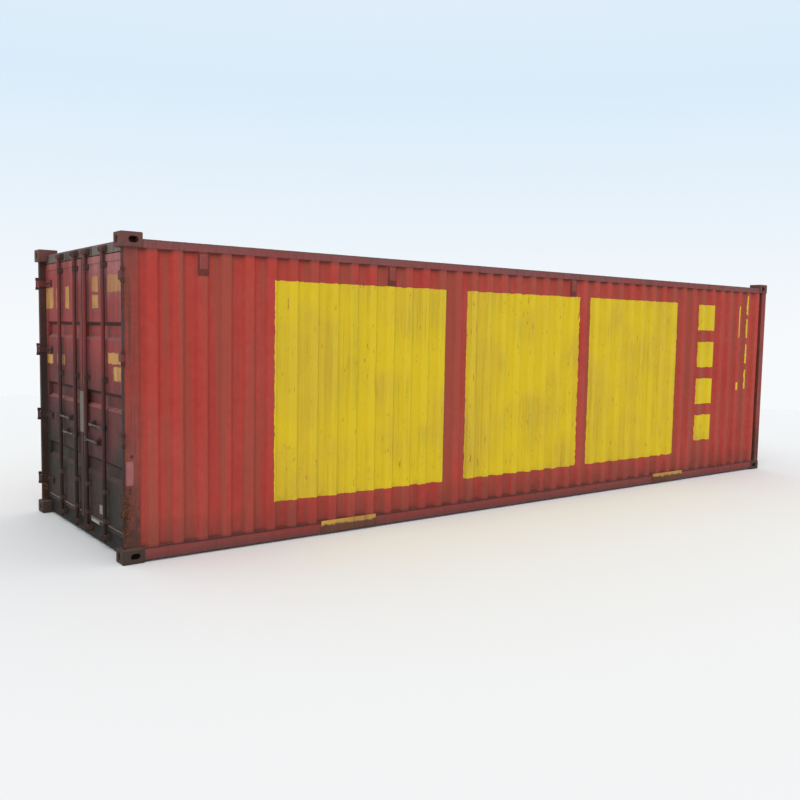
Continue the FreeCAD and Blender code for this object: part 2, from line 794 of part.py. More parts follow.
def bar_guides(name, bar_y):
    """Bolted guides that hold the bar to the leaf and let it turn."""
    guides = []
    for index, height in enumerate(guide_heights):
        span = (f"{height} - guide_height / 2", f"{height} + guide_height / 2")
        block = box(f"{name}_guide_{index}",
                    (end_x("bar_depth - bar_radius - guide_clearance - guide_wall"),
                     end_x("sheet_face")),
                    (f"{bar_y} - guide_width / 2", f"{bar_y} + guide_width / 2"), span)
        foot = box(f"{name}_foot_{index}", (end_x("sheet_face - foot_plate"), end_x("sheet_face")),
                   (f"{bar_y} - guide_foot / 2", f"{bar_y} + guide_foot / 2"), span)
        bore = round_bar(f"{name}_guide_bore_{index}", bar_x, bar_y, span,
                         "bar_radius + guide_clearance")
        whole = fused(f"{name}_guide_fused_{index}", [block, foot])
        guides.append(cut(f"{name}_guide_cut_{index}", whole, [bore]))
    return guides


def handle_catch(name, bar_y, way, height):
    """A bracket that holds the lever from above and below and is open to the front."""
    across = ordered(bar_y, "catch_place", "catch_place + catch_width", way)
    lever_back = "lever_front + lever_plate"
    step_x = end_x(f"{lever_back} + catch_gap")
    base = box(f"{name}_catch_base", (step_x, end_x("sheet_face")), across,
               (f"{height} - lever_width / 2 - catch_gap - catch_prong",
                f"{height} + lever_width / 2 + catch_gap + catch_prong"))
    pieces = [base]
    for index, sign in enumerate("-+"):
        near = f"{height} {sign} (lever_width / 2 + catch_gap)"
        far = f"{height} {sign} (lever_width / 2 + catch_gap + catch_prong)"
        span = (far, near) if sign == "-" else (near, far)
        pieces.append(box(f"{name}_prong_{index}", (end_x("lever_front"), step_x), across, span))
    return fused(f"{name}_catch", pieces)


def keepers(name, bar_y, way, height):
    """Two lugs, one each side of a cam, with room for the nose to turn out."""
    lugs = []
    for index, (side, clear) in enumerate(((way, "cam_reach + nose_gap"),
                                           (-way, "cam_radius + keeper_gap"))):
        lugs.append(box(f"{name}_{index}",
                        (end_x("cam_front + keeper_set_back"), end_x("header_front")),
                        ordered(bar_y, clear, f"{clear} + keeper_plate", side),
                        (f"{height} - keeper_height / 2", f"{height} + keeper_height / 2")))
    return lugs


right_guides, right_catches, right_keepers = [], [], []
for bar_name, (bar_place, way, height) in BARS.items():
    bar_y = f"-{bar_place}"
    bar = locking_bar(bar_name, bar_y, way)
    handle = bar_handle(bar_name, bar_y, way, height)
    for part, suffix in ((bar, "bar"), (handle, "handle")):
        node(part, f"right_{bar_name}_{suffix}")
        node(mirrored(f"left_{bar_name}_{suffix}_twin", part), f"left_{bar_name}_{suffix}")
    right_guides += bar_guides(bar_name, bar_y)
    right_catches.append(handle_catch(bar_name, bar_y, way, height))
    for level, cam_place in enumerate(cam_heights):
        right_keepers += keepers(f"{bar_name}_keeper_{level}", bar_y, way, cam_place)

for members, name in ((right_guides, "bar_guides"), (right_catches, "handle_catches")):
    held = group(f"right_{name}_group", members)
    node(held, f"right_{name}")
    node(mirrored(f"left_{name}_twin", held), f"left_{name}")
node(both_sides("keepers", group("right_keepers", right_keepers)), "cam_keepers")


# --- lock cover -------------------------------------------------------------------------------
def lock_cover():
    """A sheet steel hood, open below, on the seam stile of the -Y leaf."""
    across = ("-cover_seam - cover_width", "-cover_seam")
    front, bottom = "leaf_depth - cover_depth", "leaf_middle - cover_drop"
    hood = box("hood", (end_x(front), end_x("leaf_depth")), across,
               (bottom, f"{bottom} + cover_height"))
    hollow = box("hood_hollow", (end_x(f"{front} + cover_plate"), end_x("leaf_depth")),
                 (f"{across[0]} + cover_plate", f"{across[1]} - cover_plate"),
                 (bottom, f"{bottom} + cover_height - cover_plate"))
    return cut("hood_cut", hood, [hollow])


node(lock_cover(), "lock_cover")

# --- check and write --------------------------------------------------------------------------
doc.recompute()
for thing in doc.Objects:
    if "Invalid" in thing.State or "Error" in thing.State:
        raise RuntimeError(f"{thing.Label} failed: {thing.State}")
os.makedirs("parts", exist_ok=True)
for thing in nodes:
    if thing.Shape.isNull() or not thing.Shape.isValid():
        raise RuntimeError(f"{thing.Label} has no valid shape")
    thing.Shape.exportStep(f"parts/{thing.Label}.step")
    print(thing.Label, len(thing.Shape.Solids), "solids")
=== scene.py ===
"""A used 30 ft steel shipping container: the CAD frame with its castings, fittings, paint and rust.

Metres. +X runs away from the doors, -Y is the right side and +Z is up.
"""
import math
import random

import bmesh
import bpy
from mathutils import Matrix, Vector, noise


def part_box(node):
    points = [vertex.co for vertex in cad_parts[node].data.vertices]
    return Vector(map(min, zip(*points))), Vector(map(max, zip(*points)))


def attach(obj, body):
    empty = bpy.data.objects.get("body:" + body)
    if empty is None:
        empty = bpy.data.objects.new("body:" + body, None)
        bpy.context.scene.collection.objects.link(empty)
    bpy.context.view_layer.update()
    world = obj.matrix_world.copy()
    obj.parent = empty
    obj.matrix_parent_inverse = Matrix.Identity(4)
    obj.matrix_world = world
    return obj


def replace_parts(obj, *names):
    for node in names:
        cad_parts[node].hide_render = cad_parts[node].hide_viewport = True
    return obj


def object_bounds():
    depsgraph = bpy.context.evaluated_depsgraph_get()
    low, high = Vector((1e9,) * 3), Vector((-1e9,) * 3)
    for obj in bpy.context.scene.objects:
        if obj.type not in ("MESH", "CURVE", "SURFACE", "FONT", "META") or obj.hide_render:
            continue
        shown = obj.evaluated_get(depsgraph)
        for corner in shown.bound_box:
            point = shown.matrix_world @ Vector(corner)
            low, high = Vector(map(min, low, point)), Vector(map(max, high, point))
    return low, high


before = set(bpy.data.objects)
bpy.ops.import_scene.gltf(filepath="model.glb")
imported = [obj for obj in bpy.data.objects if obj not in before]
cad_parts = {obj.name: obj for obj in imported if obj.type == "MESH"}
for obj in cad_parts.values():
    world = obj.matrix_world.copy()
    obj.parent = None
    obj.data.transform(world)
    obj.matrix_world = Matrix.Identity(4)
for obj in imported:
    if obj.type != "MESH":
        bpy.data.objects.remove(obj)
cad_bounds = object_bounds()

# --- View, floor and light ----------------------------------------------------------------------
# The container stands on a plain pale floor under a pale sky. The light is soft and even, with a
# little more of it on the long side.
bpy.context.scene.view_settings.view_transform = "Standard"

YAW, PITCH, ROLL = (math.radians(angle) for angle in (-37.36, -4.723, 1.04))
ahead = Vector((-math.sin(YAW) * math.cos(PITCH), math.cos(YAW) * math.cos(PITCH), math.sin(PITCH)))
level = Vector((math.cos(YAW), math.sin(YAW), 0))
upright = level.cross(ahead)
rightward = level * math.cos(ROLL) + upright * math.sin(ROLL)
upward = upright * math.cos(ROLL) - level * math.sin(ROLL)
camera = bpy.data.objects.new("camera", bpy.data.cameras.new("camera"))
bpy.context.scene.collection.objects.link(camera)
STANDPOINT = Vector((-6.832, -7.713, 1.882))
turn = Matrix((rightward, upward, -ahead)).transposed().to_4x4()
camera.matrix_world = Matrix.Translation(STANDPOINT) @ turn
camera.data.lens = 38.48
camera.data.clip_end = 400
bpy.context.scene.camera = camera

world = bpy.data.worlds.new("pale sky")
bpy.context.scene.world = world
world.use_nodes = True
sky = world.node_tree
direction = sky.nodes.new("ShaderNodeTexCoord")
height = sky.nodes.new("ShaderNodeSeparateXYZ")
fade = sky.nodes.new("ShaderNodeValToRGB")
sky.links.new(direction.outputs["Generated"], height.inputs[0])
sky.links.new(height.outputs["Z"], fade.inputs["Fac"])
sky.links.new(fade.outputs["Color"], sky.nodes["Background"].inputs["Color"])
horizon, zenith = fade.color_ramp.elements
horizon.position, horizon.color = 0.0, (0.93, 0.95, 0.97, 1)
zenith.position, zenith.color = 0.75, (0.90, 0.90, 0.90, 1)
fade.color_ramp.elements.new(0.26).color = (0.70, 0.84, 0.96, 1)
sky.nodes["Background"].inputs["Strength"].default_value = 1.0

sun = bpy.data.lights.new("soft daylight", "SUN")
sun.energy = 0.95
sun.angle = math.radians(70)
sun.color = (1.0, 0.97, 0.93)
sun_holder = bpy.data.objects.new("soft daylight", sun)
bpy.context.scene.collection.objects.link(sun_holder)
sun_holder.rotation_euler = Vector((0.38, 0.66, -0.64)).to_track_quat("-Z", "Y").to_euler()


def surface(name):
    """A node material with its tree and its shader."""
    material = bpy.data.materials.new(name)
    material.use_nodes = True
    return material, material.node_tree, material.node_tree.nodes["Principled BSDF"]


def loose(name, shape):
    """An object that holds this shape, in the scene."""
    mesh = bpy.data.meshes.new(name)
    shape.to_mesh(mesh)
    shape.free()
    item = bpy.data.objects.new(name, mesh)
    bpy.context.scene.collection.objects.link(item)
    return item


floor_material, _, floor_shader = surface("pale floor")
floor_shader.inputs["Base Color"].default_value = (0.87, 0.87, 0.865, 1)
floor_shader.inputs["Roughness"].default_value = 0.9
floor_shader.inputs["Specular IOR Level"].default_value = 0.2
ground = bmesh.new()
bmesh.ops.create_circle(ground, cap_ends=True, segments=128, radius=24,
                        matrix=Matrix.Translation((STANDPOINT.x, STANDPOINT.y, 0)))
floor = loose("floor", ground)
floor.data.materials.append(floor_material)

# --- Weather ------------------------------------------------------------------------------------
# Every surface has stood outside for years: the paint is chalky, rain has drawn runs down it, rust
# comes up at edges and scrapes, and dirt with painted shade darkens the corners. Each effect is one
# node group.


def feed(tree, socket, value):
    """Link a socket, or set a plain value."""
    if isinstance(value, bpy.types.NodeSocket):
        tree.links.new(value, socket)
    elif value is not None:
        socket.default_value = value


def put(tree, kind, *values, out=0, **settings):
    """Add a node with its settings and its inputs in order, and give back one output."""
    node = tree.nodes.new("ShaderNode" + kind)
    for key, value in settings.items():
        setattr(node, key, value)
    for socket, value in zip(node.inputs, values):
        feed(tree, socket, value)
    return node.outputs[out]


def maths(tree, operation, first, second=None, clamp=False):
    """A sum on one or two values, limited to 0 to 1 if clamped."""
    return put(tree, "Math", first, second, operation=operation, use_clamp=clamp)


def times(tree, first, second):
    return maths(tree, "MULTIPLY", first, second)


def plus(tree, first, second, clamp=False):
    return maths(tree, "ADD", first, second, clamp)


def part(tree, vector, axis):
    """One part of a vector: 0 lengthways, 1 across, 2 up."""
    return put(tree, "SeparateXYZ", vector, out=axis)


def slope(tree, axis):
    """How far the surface is turned along an axis, from -1 to 1."""
    return part(tree, put(tree, "NewGeometry", out=1), axis)


def rise(tree, value, low, high, start=0.0, end=1.0):
    """A smooth step from start to end while the value goes from low to high."""
    return put(tree, "MapRange", value, low, high, start, end, interpolation_type="SMOOTHSTEP")


def mix(tree, share, first, second, way="MIX"):
    """Two colours mixed by a share from 0 to 1."""
    node = tree.nodes.new("ShaderNodeMix")
    node.data_type = "RGBA"
    node.blend_type = way
    feed(tree, node.inputs["Factor"], share)
    feed(tree, node.inputs[6], first)
    feed(tree, node.inputs[7], second)
    return node.outputs[2]


def cloud(tree, vector, scale, detail=4.0, roughness=0.55):
    """Noise between 0 and 1 at so many lumps a metre."""
    node = tree.nodes.new("ShaderNodeTexNoise")
    for name, value in (("Vector", vector), ("Scale", scale), ("Detail", detail),
                        ("Roughness", roughness)):
        feed(tree, node.inputs[name], value)
    return node.outputs[0]


def stretch(tree, vector, scale):
    return put(tree, "VectorMath", vector, scale, operation="MULTIPLY")


def effect(name, inputs, outputs):
    """A new node group, with its input and output sockets by name."""
    tree = bpy.data.node_groups.new(name, "ShaderNodeTree")
    for way, sockets in (("INPUT", inputs), ("OUTPUT", outputs)):
        for label, kind in sockets:
            tree.interface.new_socket(label, in_out=way, socket_type="NodeSocket" + kind)
    inlet = tree.nodes.new("NodeGroupInput")
    outlet = tree.nodes.new("NodeGroupOutput")
    return tree, inlet.outputs, outlet.inputs


def apply(tree, group, *values):
    """Place an effect in a material and give back its outputs."""
    node = tree.nodes.new("ShaderNodeGroup")
    node.node_tree = group
    for socket, value in zip(node.inputs, values):
        feed(tree, socket, value)
    return node.outputs


rust, inlet, outlet = effect("rust", [("Vector", "Vector"), ("Amount", "Float"), ("Edge", "Float")],
                             [("Mask", "Float"), ("Stain", "Float"), ("Colour", "Color"),
                              ("Height", "Float")])
broad = cloud(rust, inlet["Vector"], 2.6, 6.0, 0.62)
fine = cloud(rust, inlet["Vector"], 31.0, 5.0, 0.6)
rusting = plus(rust, times(rust, broad, 0.62), times(rust, fine, 0.38))
rusting = plus(rust, rusting, times(rust, inlet["Edge"], 0.22))
rusting = plus(rust, rusting, inlet["Amount"])
mask = rise(rust, rusting, 0.69, 0.75)
feed(rust, outlet["Mask"], mask)
feed(rust, outlet["Stain"], rise(rust, rusting, 0.56, 0.75))
grain = cloud(rust, inlet["Vector"], 90.0, 3.0, 0.6)
tone = mix(rust, rise(rust, grain, 0.35, 0.65), (0.028, 0.012, 0.008, 1), (0.115, 0.040, 0.017, 1))
tone = mix(rust, rise(rust, fine, 0.52, 0.7), tone, (0.15, 0.066, 0.030, 1))
feed(rust, outlet["Colour"], tone)
feed(rust, outlet["Height"], times(rust, mask, plus(rust, grain, 0.4)))

runs, inlet, outlet = effect("rain runs", [("Vector", "Vector"), ("Width", "Float"),
                                           ("Length", "Float")], [("Mask", "Float")])
scale = put(runs, "CombineXYZ", inlet["Width"], inlet["Width"], inlet["Length"])
streaks = rise(runs, cloud(runs, stretch(runs, inlet["Vector"], scale), 1.0, 4.0, 0.6), 0.46, 0.68)
broken = rise(runs, cloud(runs, inlet["Vector"], 1.7, 3.0), 0.35, 0.62)
feed(runs, outlet["Mask"], times(runs, streaks, broken))

edges, inlet, outlet = effect("worn edges", [("Vector", "Vector"), ("Radius", "Float")],
                              [("Mask", "Float"), ("Normal", "Vector")])
bevel = edges.nodes.new("ShaderNodeBevel")
bevel.samples = 4
feed(edges, bevel.inputs["Radius"], inlet["Radius"])
plain_normal = put(edges, "NewGeometry", out=1)
match = put(edges, "VectorMath", bevel.outputs[0], plain_normal, operation="DOT_PRODUCT", out=1)
feed(edges, outlet["Normal"], bevel.outputs[0])
chips = rise(edges, cloud(edges, inlet["Vector"], 22.0, 4.0), 0.34, 0.62)
feed(edges, outlet["Mask"], times(edges, chips, rise(edges, match, 0.995, 0.90)))

# Painted shade with dirt: ambient occlusion darkens corners, creases and troughs, broken by noise.
corners, inlet, outlet = effect("dirt and painted shade in corners", [("Vector", "Vector"), ("Reach", "Float")],
                                [("Mask", "Float")])
open_sky = corners.nodes.new("ShaderNodeAmbientOcclusion")
open_sky.samples = 4
feed(corners, open_sky.inputs["Distance"], inlet["Reach"])
closed = rise(corners, open_sky.outputs["AO"], 0.95, 0.35)
feed(corners, outlet["Mask"],
     times(corners, closed, rise(corners, cloud(corners, inlet["Vector"], 9.0), 0.2, 0.6)))

dust, inlet, outlet = effect("settled dust", [("Vector", "Vector")], [("Mask", "Float")])
patches = rise(dust, cloud(dust, inlet["Vector"], 3.0, 5.0, 0.6), 0.25, 0.7)
feed(dust, outlet["Mask"], times(dust, rise(dust, slope(dust, 2), 0.5, 0.95), patches))


def painted(name, fresh, faded, rusty=0.0, run=0.45, corner_dirt_and_shade=0.5, dirt=(0.050, 0.034, 0.028, 1),
            dusty=0.35, radius=0.003, rough=0.62, peel=0.12, adjust=None):
    """Weathered paint on steel. adjust may change the paint's colour and the amount of rust."""
    material, tree, shader = surface(name)
    spot = put(tree, "TexCoord", out=3)
    edge = apply(tree, edges, spot, radius)
    colour = mix(tree, rise(tree, cloud(tree, spot, 0.9, 5.0, 0.6), 0.36, 0.66), fresh, faded)
    mottle = cloud(tree, spot, 14.0, 6.0, 0.7)
    colour = mix(tree, rise(tree, mottle, 0.3, 0.75, 0.0, 0.30), colour,
                 tuple(0.62 * channel for channel in fresh[:3]) + (1,))
    if adjust:
        colour, rusty = adjust(tree, spot, colour, rusty)
    long_runs = apply(tree, runs, spot, 17.0, 0.55)[0]
    thin_runs = apply(tree, runs, spot, 60.0, 1.3)[0]
    streak = plus(tree, times(tree, long_runs, run), times(tree, thin_runs, run * 0.8), clamp=True)
    colour = mix(tree, streak, colour, dirt)
    # Painted shade with dirt: corners and troughs found by ambient occlusion turn the dirt colour.
    corner = apply(tree, corners, spot, 0.07)[0]
    colour = mix(tree, times(tree, corner, corner_dirt_and_shade), colour, dirt)
    worn = apply(tree, rust, spot, rusty, edge[0])
    colour = mix(tree, times(tree, worn[1], 0.45), colour, (0.075, 0.034, 0.022, 1))
    colour = mix(tree, worn[0], colour, worn[2])
    settled = times(tree, apply(tree, dust, spot)[0], dusty)
    colour = mix(tree, settled, colour, (0.20, 0.165, 0.135, 1))
    feed(tree, shader.inputs["Base Color"], colour)
    dull = plus(tree, rise(tree, mottle, 0.2, 0.8, rough - 0.07, rough + 0.12),
                times(tree, worn[1], 0.3), clamp=True)
    feed(tree, shader.inputs["Roughness"], dull)
    shader.inputs["Specular IOR Level"].default_value = 0.16
    skin = plus(tree, times(tree, cloud(tree, spot, 55.0, 3.0), peel), times(tree, worn[3], 0.9))
    skin = plus(tree, skin, times(tree, cloud(tree, spot, 2.4, 2.0), 2.2))
    feed(tree, shader.inputs["Normal"], put(tree, "Bump", 0.5, 0.004, 1.0, skin, edge[1]))
    return material


# --- Corner castings ----------------------------------------------------------------------------
# Eight hollow cast steel blocks carry the whole load. Each has a long slot in its top or bottom
# face and a rounded hole in its side and in its end, and their paint is scuffed to the metal.
half_length, half_width, top = -cad_bounds[0].x, -cad_bounds[0].y, cad_bounds[1].z
CASTING = Vector((0.178, 0.162, 0.118))
OUTER_WALL, INNER_WALL = 0.028, 0.012
HOLE_ALONG, HOLE_ACROSS = 0.1035, 0.0895
casting_paints = {
    "top": painted("top casting paint", (0.165, 0.048, 0.040, 1), (0.125, 0.060, 0.052, 1),
                   rusty=0.08, run=0.35, corner_dirt_and_shade=0.8, radius=0.006, peel=0.5),
    "bottom": painted("bottom casting paint", (0.065, 0.036, 0.028, 1), (0.050, 0.036, 0.030, 1),
                      rusty=0.11, run=0.35, corner_dirt_and_shade=0.8, radius=0.006, peel=0.5)}


def hang(name, shape, material, body="frame", sharp=30):
    """Make a shape a named piece that rides on a body; edges over the sharp angle stay crisp."""
    piece = loose(name, shape)
    piece.data.shade_smooth()
    piece.data.set_sharp_from_angle(angle=math.radians(sharp))
    piece.data.materials.append(material)
    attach(piece, body)
    return piece


def round_over(shape, rims, size, segments=2):
    """Round a shape's edges."""
    bmesh.ops.bevel(shape, geom=rims, offset=size, segments=segments, profile=0.5,
                    affect="EDGES", material=-1, clamp_overlap=True)


def block(shape, corner, opposite, rounding=0.0015, segments=2):
    """A block between two opposite corners, with its edges rounded over."""
    low = Vector([min(pair) for pair in zip(corner, opposite)])
    high = Vector([max(pair) for pair in zip(corner, opposite)])
    made = bmesh.ops.create_cube(shape, size=1)["verts"]
    bmesh.ops.scale(shape, vec=high - low, verts=made)
    bmesh.ops.translate(shape, vec=(low + high) / 2, verts=made)
    round_over(shape, list({edge for vert in made for edge in vert.link_edges}), rounding, segments)


def add(shape, other):
    """Move one shape into another."""
    mesh = bpy.data.meshes.new("shape")
    other.to_mesh(mesh)
    other.free()
    shape.from_mesh(mesh)
    bpy.data.meshes.remove(mesh)


def long_hole(shape, middle, facing, along, length, width, depth):
    """A hole's core: a circle drawn out along one way and pushed through the wall."""
    made = bmesh.ops.create_circle(shape, cap_ends=True, segments=32, radius=width / 2)["verts"]
    for vert in made:
        if abs(vert.co.x) > 1e-6:
            vert.co.x += math.copysign((length - width) / 2, vert.co.x)
    facing, along = Vector(facing), Vector(along)
    turning = Matrix((along, facing.cross(along), facing)).transposed().to_4x4()
    bmesh.ops.transform(shape, matrix=Matrix.Translation(middle) @ turning, verts=made)
    face = next(iter(made[0].link_faces))
    pushed = bmesh.ops.extrude_face_region(shape, geom=[face])["geom"]
    moved = [item for item in pushed if isinstance(item, bmesh.types.BMVert)]
    bmesh.ops.translate(shape, vec=facing * depth, verts=moved)
    bmesh.ops.recalc_face_normals(shape, faces=shape.faces)


casting = bmesh.new()
block(casting, (0, 0, 0), CASTING, 0.009, 3)
raw = loose("raw casting", casting)
cores = []
for middle, facing, along, length, width in (
        ((HOLE_ALONG, HOLE_ACROSS, -0.01), (0, 0, 1), (1, 0, 0), 0.124, 0.0635),
        ((HOLE_ALONG, -0.01, CASTING.z / 2), (0, 1, 0), (1, 0, 0), 0.079, 0.051),
        ((-0.01, HOLE_ACROSS, CASTING.z / 2), (1, 0, 0), (0, 0, 1), 0.0635, 0.051)):
    core = bmesh.new()
    long_hole(core, middle, facing, along, length, width, OUTER_WALL + 0.015)
    cores.append(loose("core", core))
cavity = bmesh.new()
block(cavity, (OUTER_WALL,) * 3, CASTING - Vector((INNER_WALL,) * 3), 0.006)
cores.append(loose("core", cavity))
for core in cores:
    hole = raw.modifiers.new("hole", "BOOLEAN")
    hole.operation, hole.solver, hole.object = "DIFFERENCE", "EXACT", core
rim = raw.modifiers.new("rim", "BEVEL")
rim.width, rim.segments, rim.limit_method, rim.angle_limit = 0.0022, 2, "ANGLE", math.radians(50)
bpy.context.view_layer.update()
finished = raw.evaluated_get(bpy.context.evaluated_depsgraph_get())
cast_mesh = bpy.data.meshes.new_from_object(finished)
for item in (raw, *cores):
    bpy.data.objects.remove(item)

for level_name, low in (("bottom", True), ("top", False)):
    four = bmesh.new()
    for end in (-1, 1):
        for side in (-1, 1):
            one = bmesh.new()
            one.from_mesh(cast_mesh)
            flip = Matrix.Diagonal((-end, -side, 1 if low else -1, 1))
            corner = Vector((end * half_length, side * half_width, 0 if low else top))
            bmesh.ops.transform(one, matrix=Matrix.Translation(corner) @ flip, verts=one.verts)
            if flip.determinant() < 0:
                bmesh.ops.reverse_faces(one, faces=one.faces)
            add(four, one)
    castings = hang(f"{level_name}_castings", four, casting_paints[level_name],
                    sharp=35)
    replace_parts(castings, f"{level_name}_corner_castings")

# --- Rails, posts, header and sill --------------------------------------------------------------
# Square tubes and pressed channels are welded into the frame between the castings. The top rails
# have faded to a greyish purple, the foot of the frame is dark and the door end is the dirtiest.
# Painted shade darkens the door end of the posts and a line along the bottom rail.


def coat(material, *names):
    """Give CAD nodes this material in place of their plain one."""
    for name in names:
        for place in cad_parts[name].material_slots:
            place.material = material


def lower_rust(high, low, more):
    """More rust and dirt towards the ground, from one height to another."""
    def adjust(tree, spot, colour, rusty):
        up = part(tree, spot, 2)
        near_ground = rise(tree, up, high, low)
        amount = plus(tree, times(tree, near_ground, more), rusty)
        patch = times(tree, near_ground, rise(tree, cloud(tree, spot, 5.0, 5.0), 0.3, 0.7))
        return mix(tree, patch, colour, (0.060, 0.030, 0.026, 1)), amount
    return adjust


def upper_edge(tree, spot, colour, rusty):
    """The rounded upper edge of the top rail has gone grey-brown."""
    curl = rise(tree, part(tree, spot, 2), top - 0.066, top - 0.058)
    return mix(tree, curl, colour, (0.105, 0.075, 0.070, 1)), rusty


def rail_dirt_and_shade(tree, spot, colour, rusty):
    """Dirt and painted shade along the rail's upper edge, and a browner lower half."""
    up = part(tree, spot, 2)
    colour = mix(tree, rise(tree, up, 0.085, 0.045, 0.0, 0.6), colour, (0.120, 0.045, 0.042, 1))
    # Painted shade with dirt: a dark line where the wall sheet meets the rail.
    rag = times(tree, cloud(tree, stretch(tree, spot, (6.0, 6.0, 6.0)), 1.0, 4.0), 0.012)
    line = rise(tree, plus(tree, up, rag), 0.109, 0.116, 0.0, 0.85)
    return mix(tree, line, colour, (0.060, 0.022, 0.020, 1)), rusty


top_rail_paint = painted("top rail paint", (0.235, 0.056, 0.052, 1), (0.20, 0.076, 0.074, 1),
                         rusty=0.02, run=0.3, corner_dirt_and_shade=0.3, dusty=0.7, radius=0.005, adjust=upper_edge)
bottom_rail_paint = painted("bottom rail paint", (0.25, 0.042, 0.036, 1), (0.22, 0.056, 0.048, 1),
                            rusty=0.03, run=0.2, radius=0.003, adjust=rail_dirt_and_shade)


def most(tree, first, second):
    return maths(tree, "MAXIMUM", first, second)


def end_dirt_and_shade(tree, spot, colour, rusty):
    """Dirt and painted shade darken the posts' door end, and their ends are chipped to rust."""
    turned = slope(tree, 0)
    along, across, up = (part(tree, spot, index) for index in range(3))
    # Painted shade with dirt: faces turned to the door end and the posts' inner flanks go dark.
    rear = most(tree, rise(tree, turned, -0.4, -0.7),
                rise(tree, along, -half_length + 0.0385, -half_length + 0.0265))
    inner = rise(tree, maths(tree, "ABSOLUTE", across), half_width - 0.062, half_width - 0.074)
    rear = times(tree, most(tree, rear, inner), rise(tree, along, 0.0, -1.0))
    deep = mix(tree, rise(tree, up, 2.4, 0.8), (0.075, 0.028, 0.026, 1), (0.022, 0.016, 0.013, 1))
    share = rise(tree, cloud(tree, spot, 7.0, 5.0), 0.25, 0.5, 0.75, 1.0)
    near_end = rise(tree, along, -half_length + 0.1225, -half_length + 0.0325)
    chips = most(tree, rise(tree, up, 1.75, 2.15), rise(tree, up, 1.15, 0.75))
    chips = times(tree, times(tree, chips, near_end), 0.11)
    colour = mix(tree, times(tree, rear, share), colour, deep)
    return colour, plus(tree, chips, rusty)


def both(first, second):
    """One adjustment after another."""
    def adjust(tree, spot, colour, rusty):
        colour, rusty = first(tree, spot, colour, rusty)
        return second(tree, spot, colour, rusty)
    return adjust


post_paint = painted("post paint", (0.285, 0.045, 0.034, 1), (0.24, 0.062, 0.048, 1), rusty=0.05,
                     run=0.6, corner_dirt_and_shade=0.7, radius=0.004,
                     adjust=both(lower_rust(0.95, 0.2, 0.10), end_dirt_and_shade))
header_paint = painted("door header paint", (0.105, 0.062, 0.055, 1), (0.20, 0.165, 0.140, 1),
                       rusty=0.03, run=0.7, corner_dirt_and_shade=0.6, radius=0.004)
sill_paint = painted("door sill paint", (0.012, 0.010, 0.007, 1), (0.022, 0.018, 0.013, 1),
                     rusty=0.0, run=0.4, corner_dirt_and_shade=0.5, dusty=0.15, radius=0.004)
coat(top_rail_paint, "top_side_rails", "front_top_rail")
coat(bottom_rail_paint, "bottom_side_rails", "front_bottom_rail")
coat(post_paint, "right_rear_post", "left_rear_post", "front_corner_posts")
coat(header_paint, "door_header")
coat(sill_paint, "door_sill")

# --- Corrugated side and front walls ------------------------------------------------------------
# Thin steel sheets are pressed into even trapezoid corrugations, so they stand stiff between the
# rails. They have small dents from cargo and handling, and plain painted blocks on the outside.
red, pale_red = (0.42, 0.044, 0.032, 1), (0.44, 0.062, 0.046, 1)
SHEET, WAVE_DEPTH, WALL_INSET = 0.002, 0.036, 0.046
CORRUGATIONS, FRONT_PITCH = 42, 0.211
FOLDS = (1 / 6, 1 / 3, 2 / 3, 5 / 6)
SOFTNESS = 0.0075


def wave(share):
    """Height of the trapezoid, 0 to 1, at a share of its pitch."""
    share = share % 1.0
    if share < FOLDS[0] or share > FOLDS[3]:
        return 0.0
    if share < FOLDS[1]:
        return (share - FOLDS[0]) / (FOLDS[1] - FOLDS[0])
    return 1.0 if share < FOLDS[2] else (FOLDS[3] - share) / (FOLDS[3] - FOLDS[2])


def pressed(length, pitches, width, rows, height, ease=None):
    """A corrugated sheet along X and wide along Y, with soft folds and a height for each point."""
    pitch = length / pitches
    soft = SOFTNESS / pitch
    marks = [0.0]
    for fold in FOLDS:
        marks += [fold - 2.2 * soft, fold - soft, fold, fold + soft, fold + 2.2 * soft]
    columns = len(marks) * pitches
    shape = bmesh.new()
    bmesh.ops.create_grid(shape, x_segments=columns, y_segments=rows, size=0.5)
    for vert in shape.verts:
        place = round((vert.co.x + 0.5) * columns)
        share = place // len(marks) + (marks[place % len(marks)] if place < columns else 0.0)
        if place == columns:
            share = pitches
        lift = (wave(share) + (wave(share + soft * 0.6) + wave(share - soft * 0.6)) / 2) / 2
        across = vert.co.y * width
        vert.co = Vector((share * pitch, across, height * lift * (ease(across) if ease else 1.0)))
    return shape


dents_at = random.Random(7)


def dents(count, place, radius, depth):
    """Random round dents, each with its middle, radius and depth drawn between limits."""
    return [([dents_at.uniform(*limits) if isinstance(limits, tuple) else limits
              for limits in place], dents_at.uniform(*radius), dents_at.uniform(*depth))
            for _ in range(count)]


def finish_sheet(shape, hits, push, bulge):
    """Push round dents in along one way, over a faint unevenness, and give the sheet thickness."""
    push = Vector(push)
    for vert in shape.verts:
        depth = bulge * noise.noise(vert.co * 1.4)
        for middle, radius, deep in hits:
            near = (vert.co - Vector(middle)).length / radius
            if near < 1.0:
                depth += deep * (1.0 - near * near) ** 2
        vert.co += push * depth
    bmesh.ops.recalc_face_normals(shape, faces=shape.faces)
    bmesh.ops.solidify(shape, geom=shape.faces, thickness=SHEET)


def less(tree, first, second):
    return maths(tree, "SUBTRACT", first, second)


